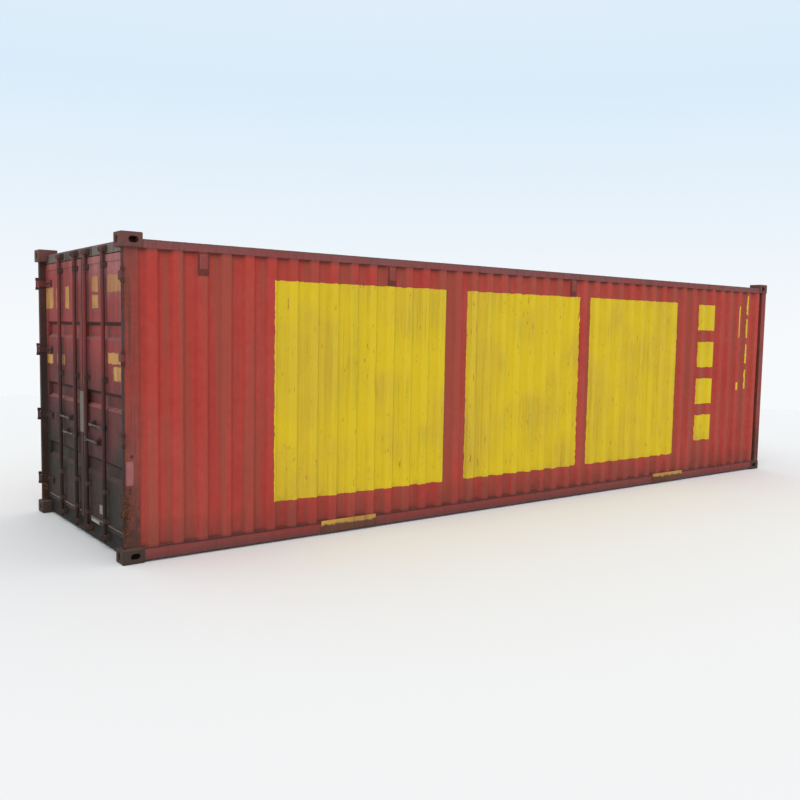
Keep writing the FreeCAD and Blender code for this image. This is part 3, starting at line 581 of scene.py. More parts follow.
def blocks_on(boxes, colour, worn_colour, across, facing, ragged=0.004):
    """Plain painted blocks, as (across, across, up, up) limits, on faces turned one way."""
    def adjust(tree, spot, paint, rusty):
        places = [part(tree, spot, index) for index in range(3)]
        rag = rise(tree, cloud(tree, spot, 16.0, 3.0), 0.3, 0.7, -ragged, ragged)
        level, up = (plus(tree, place, rag) for place in (places[across], places[2]))
        whole = None
        for left, right, low, high in boxes:
            offsets = []
            for line, first, second in ((level, left, right), (up, low, high)):
                shifted = maths(tree, "ABSOLUTE", less(tree, line, (first + second) / 2))
                offsets.append(less(tree, shifted, (second - first) / 2))
            inside = maths(tree, "LESS_THAN", most(tree, *offsets), 0.0)
            whole = inside if whole is None else most(tree, whole, inside)
        normal = put(tree, "NewGeometry", out=1)
        outward = put(tree, "VectorMath", normal, Vector(facing), operation="DOT_PRODUCT", out=1)
        whole = times(tree, whole, maths(tree, "GREATER_THAN", outward, 0.1))
        chipped = rise(tree, cloud(tree, stretch(tree, spot, (40.0, 40.0, 9.0)), 1.0, 5.0, 0.65),
                       0.31, 0.37, 0.3, 1.0)
        whole = times(tree, whole, chipped)
        tint = mix(tree, rise(tree, cloud(tree, spot, 1.6, 5.0), 0.4, 0.65), colour, worn_colour)
        drip = apply(tree, runs, spot, 42.0, 1.1)[0]
        tint = mix(tree, times(tree, drip, 0.22), tint, (0.24, 0.16, 0.030, 1))
        return mix(tree, whole, paint, tint), rusty
    return adjust


yellow, old_yellow = (0.65, 0.475, 0.014, 1), (0.61, 0.43, 0.026, 1)
SIDE_BLOCKS = [(-3.23, -1.29, 0.36, 2.28), (-1.00, 0.70, 0.36, 2.28), (0.89, 2.56, 0.36, 2.28)]
SIDE_BLOCKS += [(3.02, 3.36, low, low + 0.33) for low in (0.50, 0.98, 1.46, 1.94)]
SIDE_BLOCKS += [(4.100, 4.125, low, low + 0.26) for low in (1.15, 1.50, 1.85, 2.16)]
SIDE_BLOCKS += [(3.915, 3.940, 1.86, 2.27), (3.90, 3.95, 1.14, 1.24)]


def wall_foot(tree, spot, colour, rusty):
    """Dirt splashed up from the bottom rail, and painted shade in lines at both rails."""
    up = part(tree, spot, 2)
    lift = times(tree, cloud(tree, stretch(tree, spot, (14.0, 14.0, 2.0)), 1.0, 4.0), 0.5)
    splash = rise(tree, less(tree, up, lift), 0.16, -0.12)
    colour = mix(tree, times(tree, splash, 0.35), colour, (0.085, 0.040, 0.032, 1))
    # Painted shade: dark lines under the top rail and where the sheet meets the bottom rail.
    rail_shade_lines = most(tree, rise(tree, up, 2.43, 2.475), rise(tree, up, 0.150, 0.118))
    colour = mix(tree, times(tree, rail_shade_lines, 0.55), colour, (0.10, 0.036, 0.032, 1))
    return colour, plus(tree, times(tree, splash, 0.07), rusty)


def bands(tree, spot, colour, rusty):
    """Every corrugation has weathered a little apart: some browner, some a cleaner red."""
    wide = cloud(tree, stretch(tree, spot, (11.0, 11.0, 0.3)), 1.0, 3.0, 0.5)
    colour = mix(tree, rise(tree, wide, 0.44, 0.58, 0.0, 0.75), colour, (0.300, 0.066, 0.042, 1))
    narrow = cloud(tree, stretch(tree, spot, (45.0, 45.0, 1.1)), 1.0, 5.0, 0.6)
    colour = mix(tree, rise(tree, narrow, 0.52, 0.68, 0.0, 0.45), colour, (0.235, 0.070, 0.046, 1))
    return colour, rusty


right_low, right_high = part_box("right_side_wall")
sheet_length = right_high.x - right_low.x
for side, name in ((-1, "right"), (1, "left")):
    wall = pressed(sheet_length, CORRUGATIONS, right_high.z - right_low.z, 26, WAVE_DEPTH)
    # The sheet is made lying down: stand it up, with its troughs inwards.
    stand = Matrix(((1, 0, 0, right_low.x), (0, 0, side, side * (half_width - WALL_INSET)),
                    (0, 1, 0, (right_low.z + right_high.z) / 2), (0, 0, 0, 1)))
    bmesh.ops.transform(wall, matrix=stand, verts=wall.verts)
    if side < 0:
        bmesh.ops.reverse_faces(wall, faces=wall.faces)
    hits = dents(14, ((-4.2, 4.2), side * 1.19, (0.3, 2.3)), (0.10, 0.30), (0.003, 0.008))
    finish_sheet(wall, hits, (0, -side, 0), 0.0025)
    marked = blocks_on(SIDE_BLOCKS, yellow, old_yellow, 0, (0, side, 0))
    wall_paint = painted(f"{name} wall paint", red, pale_red, rusty=-0.02, run=0.10, corner_dirt_and_shade=0.22,
                         radius=0.001, peel=0.1, adjust=both(bands, both(marked, wall_foot)))
    panel = hang(f"{name}_corrugated_wall", wall, wall_paint, sharp=60)
    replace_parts(panel, f"{name}_side_wall")

plain_wall_paint = painted("plain wall paint", red, pale_red, rusty=0.0, run=0.45, corner_dirt_and_shade=0.4,
                           radius=0.001, adjust=both(bands, wall_foot))
front_low, front_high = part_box("front_wall")
front_span = front_high.y - front_low.y
front = pressed(front_span, round(front_span / FRONT_PITCH), front_high.z - front_low.z, 20,
                WAVE_DEPTH)
stand = Matrix(((0, 0, 1, front_low.x + SHEET), (1, 0, 0, front_low.y),
                (0, 1, 0, (front_low.z + front_high.z) / 2), (0, 0, 0, 1)))
bmesh.ops.transform(front, matrix=stand, verts=front.verts)
hits = dents(5, (front_high.x, (-1.0, 1.0), (0.3, 2.2)), (0.12, 0.35), (0.004, 0.010))
finish_sheet(front, hits, (-1, 0, 0), 0.003)
front_panel = hang("front_corrugated_wall", front, plain_wall_paint, sharp=60)
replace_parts(front_panel, "front_wall")

# --- Roof ---------------------------------------------------------------------------------------
# The roof is pressed like the walls, but its ribs stop short of the rails, so the edge lies flat
# for its weld. Flat plates close it at both ends. Dirt and rust gather where the rain stands.
roof_paint = painted("roof paint", (0.30, 0.060, 0.050, 1), (0.34, 0.125, 0.100, 1), rusty=0.045,
                     run=0.0, corner_dirt_and_shade=0.4, dusty=0.75, radius=0.001)
roof_low, roof_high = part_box("roof_panel")
RIBS, RIB_DEPTH = 40, 0.020
RIB_END, RIB_FULL = 1.00, 0.91


def rib_ease(across):
    """Full height between the shoulders, then down to the flat margin."""
    share = min(1.0, max(0.0, (RIB_END - abs(across)) / (RIB_END - RIB_FULL)))
    return share * share * (3 - 2 * share)


roof = pressed(roof_high.x - roof_low.x, RIBS, roof_high.y - roof_low.y, 54, RIB_DEPTH, rib_ease)
bmesh.ops.translate(roof, vec=(roof_low.x, 0, roof_low.z + SHEET), verts=roof.verts)
hits = dents(10, ((-4.0, 4.0), (-0.9, 0.9), roof_high.z), (0.15, 0.45), (0.003, 0.008))
finish_sheet(roof, hits, (0, 0, -1), 0.0)
roof_piece = hang("pressed_roof", roof, roof_paint, sharp=60)
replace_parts(roof_piece, "roof_panel")
coat(roof_paint, "roof_end_plates")

# --- Welds --------------------------------------------------------------------------------------
# Runs of weld join the frame, the castings and the sheets. They are painted over with the rest,
# and most have begun to rust.
weld_paint = painted("weld paint", (0.27, 0.050, 0.042, 1), (0.22, 0.065, 0.052, 1), rusty=0.09,
                     radius=0.002, rough=0.6)
JOINT = 0.001


def between(start, end):
    """The placing of an upright shape between two points."""
    turning = (end - start).to_track_quat("Z", "Y").to_matrix().to_4x4()
    return Matrix.Translation((start + end) / 2) @ turning


def bead(shape, start, end, radius=0.0035, step=0.012):
    """A run of weld: a thin rod, divided along its length and made uneven."""
    start, end = Vector(start), Vector(end)
    line = end - start
    made = bmesh.ops.create_cone(shape, cap_ends=True, segments=5, radius1=radius,
                                 radius2=radius, depth=line.length,
                                 matrix=between(start, end))["verts"]
    long_edges = [edge for edge in {edge for vert in made for edge in vert.link_edges}
                  if edge.calc_length() > 0.9 * line.length]
    rings = bmesh.ops.subdivide_edges(shape, edges=long_edges, cuts=int(line.length / step),
                                      use_grid_fill=True)["geom_inner"]
    way = line.normalized()
    for vert in {item for item in rings if isinstance(item, bmesh.types.BMVert)}:
        foot = start + way * (vert.co - start).dot(way)
        swell = 1.0 + 0.35 * noise.noise(foot * 70.0) + 0.2 * noise.noise(foot * 9.0)
        vert.co = foot + (vert.co - foot) * swell


def under(side, depth):
    """Where a point at a depth under one outer side lies across."""
    return side * (half_width - depth)


welds = bmesh.new()
rail_end = half_length - CASTING.x
for side in (-1, 1):
    for joint in (CASTING.z + JOINT, top - CASTING.z - JOINT):
        bead(welds, (-half_length + 0.15, under(side, 0.030), joint),
             (half_length - 0.105, under(side, 0.030), joint), 0.0045, 0.02)
    bead(welds, (-rail_end, under(side, 0.013), top - 0.0545),
         (rail_end, under(side, 0.013), top - 0.0545), 0.003, 0.025)
    for end, first, last, inset in ((-1, 0.032, 0.148, 0.029), (1, 0.010, 0.104, 0.009)):
        for low, high in ((0.022, 0.116), (top - 0.116, top - 0.057)):
            bead(welds, (end * rail_end, under(side, 0.0105), low),
                 (end * rail_end, under(side, 0.0105), high), 0.004)
        for joint in (CASTING.z, top - CASTING.z):
            bead(welds, (end * (half_length - first), under(side, inset), joint),
                 (end * (half_length - last), under(side, inset), joint), 0.004)
for joint in (CASTING.z + JOINT, top - CASTING.z - JOINT):
    bead(welds, (front_high.x - 0.004, -front_span / 2, joint),
         (front_high.x - 0.004, front_span / 2, joint), 0.0045, 0.02)
hang("weld_runs", welds, weld_paint)

# --- Vents and lifting pads ---------------------------------------------------------------------
# Three small moulded covers a side keep rain out of the air holes, each on a backing under the top
# rail that is painted dark, partly as the shade round the cover. Below, four thick plates on the
# bottom rails take the arms of a grab.
VENT_CRESTS = (2, 11, 23)
BACKING_HALF, COVER_HALF, LOUVRE_HALF = 0.0475, 0.034, 0.026
LOUVRES, LOUVRE_PITCH = 6, 0.017


def rod(shape, start, end, radius, end_radius=None, segments=20, rounding=0.0):
    """A round or many-sided rod between two points."""
    start, end = Vector(start), Vector(end)
    made = bmesh.ops.create_cone(shape, cap_ends=True, segments=segments, radius1=radius,
                                 radius2=radius if end_radius is None else end_radius,
                                 depth=(end - start).length,
                                 matrix=between(start, end))["verts"]
    if rounding:
        rims = [edge for edge in {edge for vert in made for edge in vert.link_edges}
                if any(len(face.verts) > 4 for face in edge.link_faces)]
        round_over(shape, rims, rounding)


vent_paint = painted("vent cover paint", (0.30, 0.052, 0.042, 1), (0.27, 0.070, 0.055, 1),
                     rusty=-0.05, run=0.4, radius=0.003)
# Partly painted shade: the backing is dark as the shade round each vent cover.
backing_paint_and_shade = painted("vent backing and painted shade", (0.13, 0.026, 0.022, 1), (0.15, 0.038, 0.030, 1),
                        rusty=0.0, run=0.2)
vent_low, vent_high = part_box("vent_covers")
backings, covers = bmesh.new(), bmesh.new()
for crest in VENT_CRESTS:
    middle = right_low.x + (crest + 0.5) * sheet_length / CORRUGATIONS
    for side in (-1, 1):
        block(backings, (middle - BACKING_HALF, under(side, 0.0098), vent_low.z),
              (middle + BACKING_HALF, under(side, 0.006), vent_high.z), 0.001)
        block(covers, (middle - COVER_HALF, under(side, 0.006), vent_low.z + 0.052),
              (middle + COVER_HALF, under(side, 0.0025), vent_high.z - 0.010), 0.0015, 3)
        for row in range(LOUVRES):
            low = vent_low.z + 0.060 + LOUVRE_PITCH * row
            block(covers, (middle - LOUVRE_HALF, under(side, 0.0035), low),
                  (middle + LOUVRE_HALF, under(side, 0.0004), low + LOUVRE_PITCH / 2), 0.0013)
        for across in (-0.040, 0.040):
            for up in (0.012, 0.168):
                place = Vector((middle + across, under(side, 0.006), vent_low.z + up))
                rod(backings, place, place + Vector((0, side * 0.003, 0)), 0.0042, 0.0025, 10)
hang("vent_backings", backings, backing_paint_and_shade)
vents = hang("vent_louvres", covers, vent_paint)
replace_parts(vents, "vent_covers")

pad_low, pad_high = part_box("lifting_pads")


def pad_wear(tree, spot, colour, rusty):
    """Bright at the top edge, and scraped back to rust below it."""
    up = part(tree, spot, 2)
    rag = times(tree, cloud(tree, spot, 13.0, 4.0), 0.07)
    low = rise(tree, less(tree, up, rag), 0.072, 0.045)
    colour = mix(tree, low, colour, (0.135, 0.055, 0.036, 1))
    return colour, plus(tree, times(tree, low, 0.11), rusty)


pad_paint = painted("lifting pad paint", (0.52, 0.30, 0.055, 1), (0.44, 0.22, 0.060, 1), rusty=0.04,
                    run=0.4, radius=0.003, adjust=pad_wear)
PAD_PLACE, PAD_HALF, PAD_CHAMFER = 2.438, 0.305, 0.014
pads, pad_welds = bmesh.new(), bmesh.new()
for middle in (-PAD_PLACE, PAD_PLACE):
    for side in (-1, 1):
        block(pads, (middle - PAD_HALF, under(side, 0.0098), pad_low.z),
              (middle + PAD_HALF, under(side, 0.002), pad_high.z), 0.0022, 3)
        face, rim_height = under(side, 0.0095), pad_high.z - PAD_CHAMFER
        for up in (pad_low.z + 0.0005, rim_height):
            bead(pad_welds, (middle - PAD_HALF, face, up), (middle + PAD_HALF, face, up), 0.0034,
                 0.018)
        for end in (-PAD_HALF - 0.0005, PAD_HALF + 0.0005):
            bead(pad_welds, (middle + end, face, pad_low.z), (middle + end, face, rim_height),
                 0.0034, 0.018)
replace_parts(hang("grab_pads", pads, pad_paint), "lifting_pads")
hang("pad_welds", pad_welds, weld_paint)

# --- Post fittings ------------------------------------------------------------------------------
# On the side of the right rear post are a small blank plate in a welded rim, a slot below it and a
# round stud. The plate carries nothing.
fittings = bmesh.new()
post_face = -half_width + 0.028
block(fittings, (-half_length + 0.040, post_face - 0.0025, 0.625),
      (-half_length + 0.100, post_face, 0.815), 0.0012)
block(fittings, (-half_length + 0.046, post_face - 0.0042, 0.640),
      (-half_length + 0.094, post_face - 0.0015, 0.800), 0.001)
for up in (0.632, 0.808):
    for along in (0.047, 0.093):
        place = Vector((-half_length + along, post_face - 0.0022, up))
        rod(fittings, place, place - Vector((0, 0.0025, 0)), 0.0035, 0.002, 10)
plate_paint = painted("blank plate paint", (0.29, 0.085, 0.085, 1), (0.33, 0.12, 0.115, 1),
                      rusty=0.0, run=0.3, radius=0.002)
hang("blank_post_plate", fittings, plate_paint)
dark_paint = painted("dark fitting paint", (0.045, 0.022, 0.019, 1), (0.065, 0.035, 0.028, 1),
                     rusty=0.08, run=0.2, radius=0.002)
studs = bmesh.new()
rod(studs, (-half_length + 0.085, post_face, 0.853),
    (-half_length + 0.085, post_face - 0.006, 0.853), 0.013, 0.010, 20, 0.001)
block(studs, (-half_length + 0.060, post_face - 0.0015, 0.556),
      (-half_length + 0.080, post_face, 0.605), 0.0005)
hang("post_stud_and_slot", studs, dark_paint)

# --- Door leaves --------------------------------------------------------------------------------
# Each leaf is a pressed sheet in a frame of square tubes, closed by rubber seals. The paint is
# chalky and pinkish at the top, and goes down through brown to a greenish black.
leaf_low, leaf_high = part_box("right_door_stiles")
LEAF_FACE = leaf_low.x
SHEET_FACE = LEAF_FACE + 0.004
leaf_middle = (leaf_low.z + leaf_high.z) / 2
outer_edge = -leaf_low.y
SIDES = (("right", -1), ("left", 1))
DOOR_MARKS = [(0.895, 1.115, 2.02, 2.22), (0.680, 0.785, 2.02, 2.215), (0.395, 0.500, 2.02, 2.215),
              (0.930, 1.100, 1.49, 1.58), (0.545, 0.790, 1.50, 1.59),
              (-0.430, -0.262, 2.155, 2.28), (-0.430, -0.262, 2.015, 2.125),
              (-0.975, -0.660, 2.145, 2.28), (-0.965, -0.660, 1.56, 1.65),
              (-0.960, -0.790, 1.425, 1.535), (-1.060, -0.990, 0.90, 1.10)]
DOOR_TINTS = [(2.50, 2.15, (0.29, 0.050, 0.046, 1)), (1.85, 1.30, (0.125, 0.033, 0.030, 1)),
              (1.25, 0.55, (0.042, 0.023, 0.019, 1))]


def door_weather(tree, spot, colour, rusty):
    """The colour by height: chalky, red, red-brown, then nearly black, dirtier on the left leaf.
    Ledges turned up get painted skylight, and faces turned down get painted shade.
    """
    across, up = (part(tree, spot, index) for index in (1, 2))
    lift = times(tree, cloud(tree, stretch(tree, spot, (5.0, 5.0, 1.3)), 1.0, 5.0, 0.6), 0.7)
    lift = plus(tree, lift, times(tree, across, 0.17))
    level_up = less(tree, up, less(tree, lift, 0.35))
    for high, low, tint in DOOR_TINTS:
        colour = mix(tree, rise(tree, level_up, high, low), colour, tint)
    green = rise(tree, cloud(tree, spot, 3.0, 5.0), 0.44, 0.58, 0.0, 0.8)
    green = times(tree, green, rise(tree, level_up, 1.2, 0.7))
    colour = mix(tree, green, colour, (0.026, 0.025, 0.018, 1))
    seam = rise(tree, maths(tree, "ABSOLUTE", across), 0.078, 0.066, 0.0, 0.4)
    colour = mix(tree, seam, colour, (0.100, 0.048, 0.042, 1))
    # Painted light: upward faces of the recess ledges are lighter, as if lit by the sky.
    turned = slope(tree, 2)
    sky_lit_ledges = times(tree, rise(tree, turned, 0.4, 0.6), rise(tree, up, 0.8, 1.2, 0.1, 0.85))
    colour = mix(tree, sky_lit_ledges, colour, (0.33, 0.095, 0.095, 1))
    # Painted shade: faces turned down go near black.
    colour = mix(tree, rise(tree, turned, -0.4, -0.6, 0.0, 0.85), colour, (0.022, 0.011, 0.010, 1))
    return colour, rusty


def darker(tree, spot, colour, rusty):
    return mix(tree, 0.45, colour, (0.035, 0.014, 0.012, 1)), rusty


mark_paint, old_mark_paint = (0.56, 0.30, 0.085, 1), (0.42, 0.19, 0.080, 1)
door_marks = blocks_on(DOOR_MARKS, mark_paint, old_mark_paint, 1, (-1, 0, 0), 0.006)
door_paint = painted("door paint", (0.36, 0.095, 0.095, 1), (0.38, 0.140, 0.135, 1), rusty=0.01,
                     run=0.40, corner_dirt_and_shade=0.7, radius=0.0025,
                     adjust=both(door_weather, door_marks))
dark_frame = painted("dark door frame paint", (0.15, 0.040, 0.038, 1), (0.17, 0.058, 0.054, 1),
                     rusty=0.03, run=0.5, corner_dirt_and_shade=0.8, radius=0.003,
                     adjust=both(door_weather, darker))
for side, _ in SIDES:
    coat(door_paint, f"{side}_door_panel", f"{side}_door_rails", f"{side}_door_stiles")
    coat(dark_frame, f"{side}_door_hinges")

rubber, rubber_tree, rubber_shader = surface("aged rubber")
spot = put(rubber_tree, "TexCoord", out=3)
crazed = cloud(rubber_tree, spot, 160.0, 4.0, 0.7)
bloom = rise(rubber_tree, cloud(rubber_tree, spot, 12.0, 5.0), 0.4, 0.7)
feed(rubber_tree, rubber_shader.inputs["Base Color"],
     mix(rubber_tree, bloom, (0.012, 0.012, 0.012, 1), (0.045, 0.040, 0.034, 1)))
feed(rubber_tree, rubber_shader.inputs["Roughness"], rise(rubber_tree, crazed, 0.2, 0.8, 0.6, 0.9))
feed(rubber_tree, rubber_shader.inputs["Normal"],
     put(rubber_tree, "Bump", 0.4, 0.001, 1.0, crazed))
SEAL_WIDTH = 0.007
for side, hand in SIDES:
    seal = bmesh.new()
    for depth, wide in ((0.096, 0.0075), (0.106, 0.0085), (0.116, 0.0075)):
        near = -half_length + depth
        block(seal, (near, hand * 0.0098, leaf_low.z),
              (near + SEAL_WIDTH, hand * (0.0098 - wide), leaf_high.z), 0.002)
    for depth in (0.100, 0.112):
        near = -half_length + depth
        block(seal, (near, hand * (outer_edge + 0.0002), leaf_low.z),
              (near + SEAL_WIDTH, hand * (outer_edge + 0.0048), leaf_high.z), 0.0018)
    hang(f"{side}_edge_seals", seal, rubber, f"{side}_door")
    coat(rubber, f"{side}_door_gasket")

# --- Locking bars -------------------------------------------------------------------------------
# Two steel tubes a leaf turn in bolted saddles. A cam welded to each end pulls the leaf shut
# behind a pair of plates on the header and the sill, and a flat handle turns each tube.
bar_paint = painted("locking bar paint", (0.20, 0.050, 0.048, 1), (0.22, 0.075, 0.070, 1),
                    rusty=0.02, run=0.3, corner_dirt_and_shade=0.5, radius=0.002, adjust=both(door_weather, darker))
saddle_paint = painted("saddle paint", (0.060, 0.028, 0.025, 1), (0.085, 0.055, 0.045, 1),
                       rusty=0.07, run=0.3, corner_dirt_and_shade=0.6, radius=0.002)
keeper_paint = painted("cam keeper paint", (0.050, 0.027, 0.023, 1), (0.075, 0.058, 0.045, 1),
                       rusty=0.07, run=0.3, corner_dirt_and_shade=0.6, radius=0.003)

handle_steel, handle_tree, handle_shader = surface("worn handle steel")
spot = put(handle_tree, "TexCoord", out=3)
edge = apply(handle_tree, edges, spot, 0.003)
worn = apply(handle_tree, rust, spot, 0.03, edge[0])
zinc = mix(handle_tree, rise(handle_tree, cloud(handle_tree, spot, 9.0, 5.0), 0.50, 0.70),
           (0.030, 0.019, 0.016, 1), (0.125, 0.092, 0.076, 1))
zinc = mix(handle_tree, times(handle_tree, worn[1], 0.5), zinc, (0.075, 0.034, 0.022, 1))
feed(handle_tree, handle_shader.inputs["Base Color"], mix(handle_tree, worn[0], zinc, worn[2]))
feed(handle_tree, handle_shader.inputs["Roughness"], rise(handle_tree, worn[1], 0.0, 1.0, 0.5, 0.8))
handle_shader.inputs["Specular IOR Level"].default_value = 0.3
feed(handle_tree, handle_shader.inputs["Metallic"], rise(handle_tree, worn[1], 0.0, 0.5, 0.15, 0.0))
feed(handle_tree, handle_shader.inputs["Normal"],
     put(handle_tree, "Bump", 0.5, 0.002, 1.0, worn[3], edge[1]))

BAR_DEPTH, BAR_RADIUS, CAM_RADIUS, RING_RADIUS = 0.060, 0.017, 0.021, 0.0195
bar_line = -half_length + BAR_DEPTH
bar_low, bar_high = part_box("right_inner_bar")
CAM_HEIGHTS = (0.100, top - 0.095)
SADDLE_HEIGHTS = (leaf_low.z + 0.080, leaf_middle - 0.817, leaf_middle + 0.115, leaf_high.z - 0.080)
BARS = (("inner", 0.150, 1, leaf_middle - 0.420), ("outer", 0.615, -1, leaf_middle - 0.280))


def bolt(shape, place, facing, size=0.009):
    """A washer, a hexagon head and the round end over it."""
    place, facing = Vector(place), Vector(facing)
    rod(shape, place, place + facing * 0.25 * size, size * 1.45, segments=14)
    rod(shape, place, place + facing * 0.9 * size, size, segments=6, rounding=0.12 * size)
    rod(shape, place, place + facing * 1.25 * size, size * 0.5, segments=8)


def cut_out(shape, lines, thickness, rounding=0.001):
    """A flat plate from its outline's points, given a thickness vector."""
    face = shape.faces.new([shape.verts.new(point) for point in lines])
    pushed = bmesh.ops.extrude_face_region(shape, geom=[face])["geom"]
    moved = [item for item in pushed if isinstance(item, bmesh.types.BMVert)]
    bmesh.ops.translate(shape, vec=thickness, verts=moved)
    bmesh.ops.recalc_face_normals(shape, faces=shape.faces)
    rims = {edge for vert in moved for edge in vert.link_edges}
    rims |= set(face.edges if face.is_valid else [])
    round_over(shape, list(rims), rounding)


NOSE = [(-0.010, 0.0), (-0.010, 0.030), (-0.004, 0.041), (0.004, 0.042), (0.008, 0.036),
        (0.010, 0.0)]
LEVER = [(0.012, -0.012), (0.050, -0.012), (0.075, -0.009), (0.235, -0.009), (0.255, -0.012),
         (0.330, -0.012), (0.341, -0.008), (0.345, 0.0), (0.341, 0.008), (0.330, 0.012),
         (0.255, 0.012), (0.235, 0.009), (0.075, 0.009), (0.050, 0.012), (0.012, 0.012)]
KEEPER = [(0.088, -0.025), (0.088, 0.025), (0.062, 0.025), (0.049, 0.019), (0.042, 0.009),
          (0.042, -0.009), (0.049, -0.019), (0.062, -0.025)]
STRAP_WIDTH, STRAP_PLATE, ARCH_START, ARCH_STEPS = 0.040, 0.004, 0.0235, 12
REARWARD = (-1, 0, 0)


def saddle(shape, middle, height):
    """A strap bent over the bar, with a foot each side and four bolts."""
    path = [(-0.046, 0.0035), (-0.026, 0.0035), (-RING_RADIUS, 0.012), (-RING_RADIUS, ARCH_START)]
    for step in range(1, ARCH_STEPS):
        angle = math.pi * step / ARCH_STEPS
        path.append((-RING_RADIUS * math.cos(angle), ARCH_START + RING_RADIUS * math.sin(angle)))
    path += [(-across, out) for across, out in path[3::-1]]
    strap = bmesh.new()
    line = [strap.verts.new((SHEET_FACE - out, middle + across, height - STRAP_WIDTH / 2))
            for across, out in path]
    joined = [strap.edges.new(pair) for pair in zip(line, line[1:])]
    raised = bmesh.ops.extrude_edge_only(strap, edges=joined)["geom"]
    moved = [item for item in raised if isinstance(item, bmesh.types.BMVert)]
    bmesh.ops.translate(strap, vec=(0, 0, STRAP_WIDTH), verts=moved)
    bmesh.ops.recalc_face_normals(strap, faces=strap.faces)
    bmesh.ops.solidify(strap, geom=strap.faces, thickness=STRAP_PLATE)
    bmesh.ops.recalc_face_normals(strap, faces=strap.faces)
    add(shape, strap)
    for across in (-0.037, 0.037):
        for up in (-0.011, 0.011):
            bolt(shape, (SHEET_FACE - 0.0052, middle + across, height + up), REARWARD, 0.0062)


keepers = bmesh.new()
for side, hand in SIDES:
    saddles, catches = bmesh.new(), bmesh.new()
    for name, place, way, handle_height in BARS:
        middle = hand * place
        reach = hand * way
        body = f"{side}_{name}_lock"
        tube, handle = bmesh.new(), bmesh.new()
        rod(tube, (bar_line, middle, bar_low.z), (bar_line, middle, bar_high.z), BAR_RADIUS,
            segments=40, rounding=0.002)
        for cam_height in CAM_HEIGHTS:
            rod(tube, (bar_line, middle, cam_height - 0.020),
                (bar_line, middle, cam_height + 0.020), CAM_RADIUS, segments=40, rounding=0.003)
            cut_out(tube, [(bar_line + deep, middle + reach * out, cam_height - 0.017)
                           for deep, out in NOSE], (0, 0, 0.034), 0.002)
        for saddle_height in SADDLE_HEIGHTS:
            saddle(saddles, middle, saddle_height)
            for up in (-0.026, 0.021):
                rod(tube, (bar_line, middle, saddle_height + up),
                    (bar_line, middle, saddle_height + up + 0.005), RING_RADIUS, segments=32,
                    rounding=0.0012)
        bar = hang(f"{side}_{name}_locking_bar", tube, bar_paint, body)
        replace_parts(bar, f"{side}_{name}_bar")
        rod(handle, (bar_line, middle, handle_height - 0.022),
            (bar_line, middle, handle_height + 0.022), CAM_RADIUS, segments=32, rounding=0.003)
        cut_out(handle, [(-half_length + 0.050, middle + reach * out, handle_height + up)
                         for out, up in LEVER], (-0.010, 0, 0), 0.0022)
        bolt(handle, (-half_length + 0.0405, middle + reach * 0.030, handle_height), REARWARD,
             0.0075)
        grip = hang(f"{side}_{name}_lever", handle, handle_steel, body)
        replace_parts(grip, f"{side}_{name}_handle")
        near, far = sorted((middle + reach * 0.292, middle + reach * 0.328))
        block(catches, (SHEET_FACE - 0.005, near - 0.012, handle_height - 0.034),
              (SHEET_FACE, far + 0.012, handle_height + 0.034))
        block(catches, (-half_length + 0.0565, near, handle_height - 0.012),
              (SHEET_FACE, far, handle_height + 0.012), 0.003)
        for sign in (-1, 1):
            block(catches, (-half_length + 0.040, near, handle_height + sign * 0.0185),
                  (SHEET_FACE - 0.002, far, handle_height + sign * 0.0245), 0.002)
            for across in (near - 0.006, far + 0.006):
                bolt(catches, (SHEET_FACE - 0.005, across, handle_height + sign * 0.024), REARWARD,
                     0.0045)
        for cam_height in CAM_HEIGHTS:
            for start in (0.050, -0.037):
                cut_out(keepers, [(-half_length + deep, middle + reach * start, cam_height + up)
                                  for deep, up in KEEPER], (0, reach * 0.010, 0), 0.002)
            block(keepers, (-half_length + 0.0852, middle + reach * 0.066, cam_height - 0.029),
                  (-half_length + 0.088, middle - reach * 0.043, cam_height + 0.029), 0.0012)
    held = hang(f"{side}_bar_saddles", saddles, saddle_paint, f"{side}_door")
    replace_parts(held, f"{side}_bar_guides")
    caught = hang(f"{side}_lever_catches", catches, saddle_paint, f"{side}_door")
    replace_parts(caught, f"{side}_handle_catches")
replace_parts(hang("cam_keeper_plates", keepers, keeper_paint), "cam_keepers")

# --- Hinges -------------------------------------------------------------------------------------
# Four cranked straps a leaf reach round the post from pins in welded lugs. Each is fixed to the
# leaf with three bolts.
HINGES, HINGE_MARGIN = 4, 0.185
hinge_pitch = (leaf_high.z - leaf_low.z - 2 * HINGE_MARGIN) / (HINGES - 1)
for side, hand in SIDES:
    bolts = bmesh.new()
    for number in range(HINGES):
        up = leaf_low.z + HINGE_MARGIN + number * hinge_pitch
        for depth in (0.125, 0.180, 0.240):
            bolt(bolts, (LEAF_FACE - 0.0082, under(hand, depth), up), REARWARD, 0.0095)
    hang(f"{side}_hinge_bolts", bolts, saddle_paint, f"{side}_door")
pin_steel = painted("hinge pin steel", (0.11, 0.080, 0.065, 1), (0.075, 0.045, 0.035, 1),
                    rusty=0.10, run=0.2, radius=0.002)
coat(pin_steel, "hinge_pins")

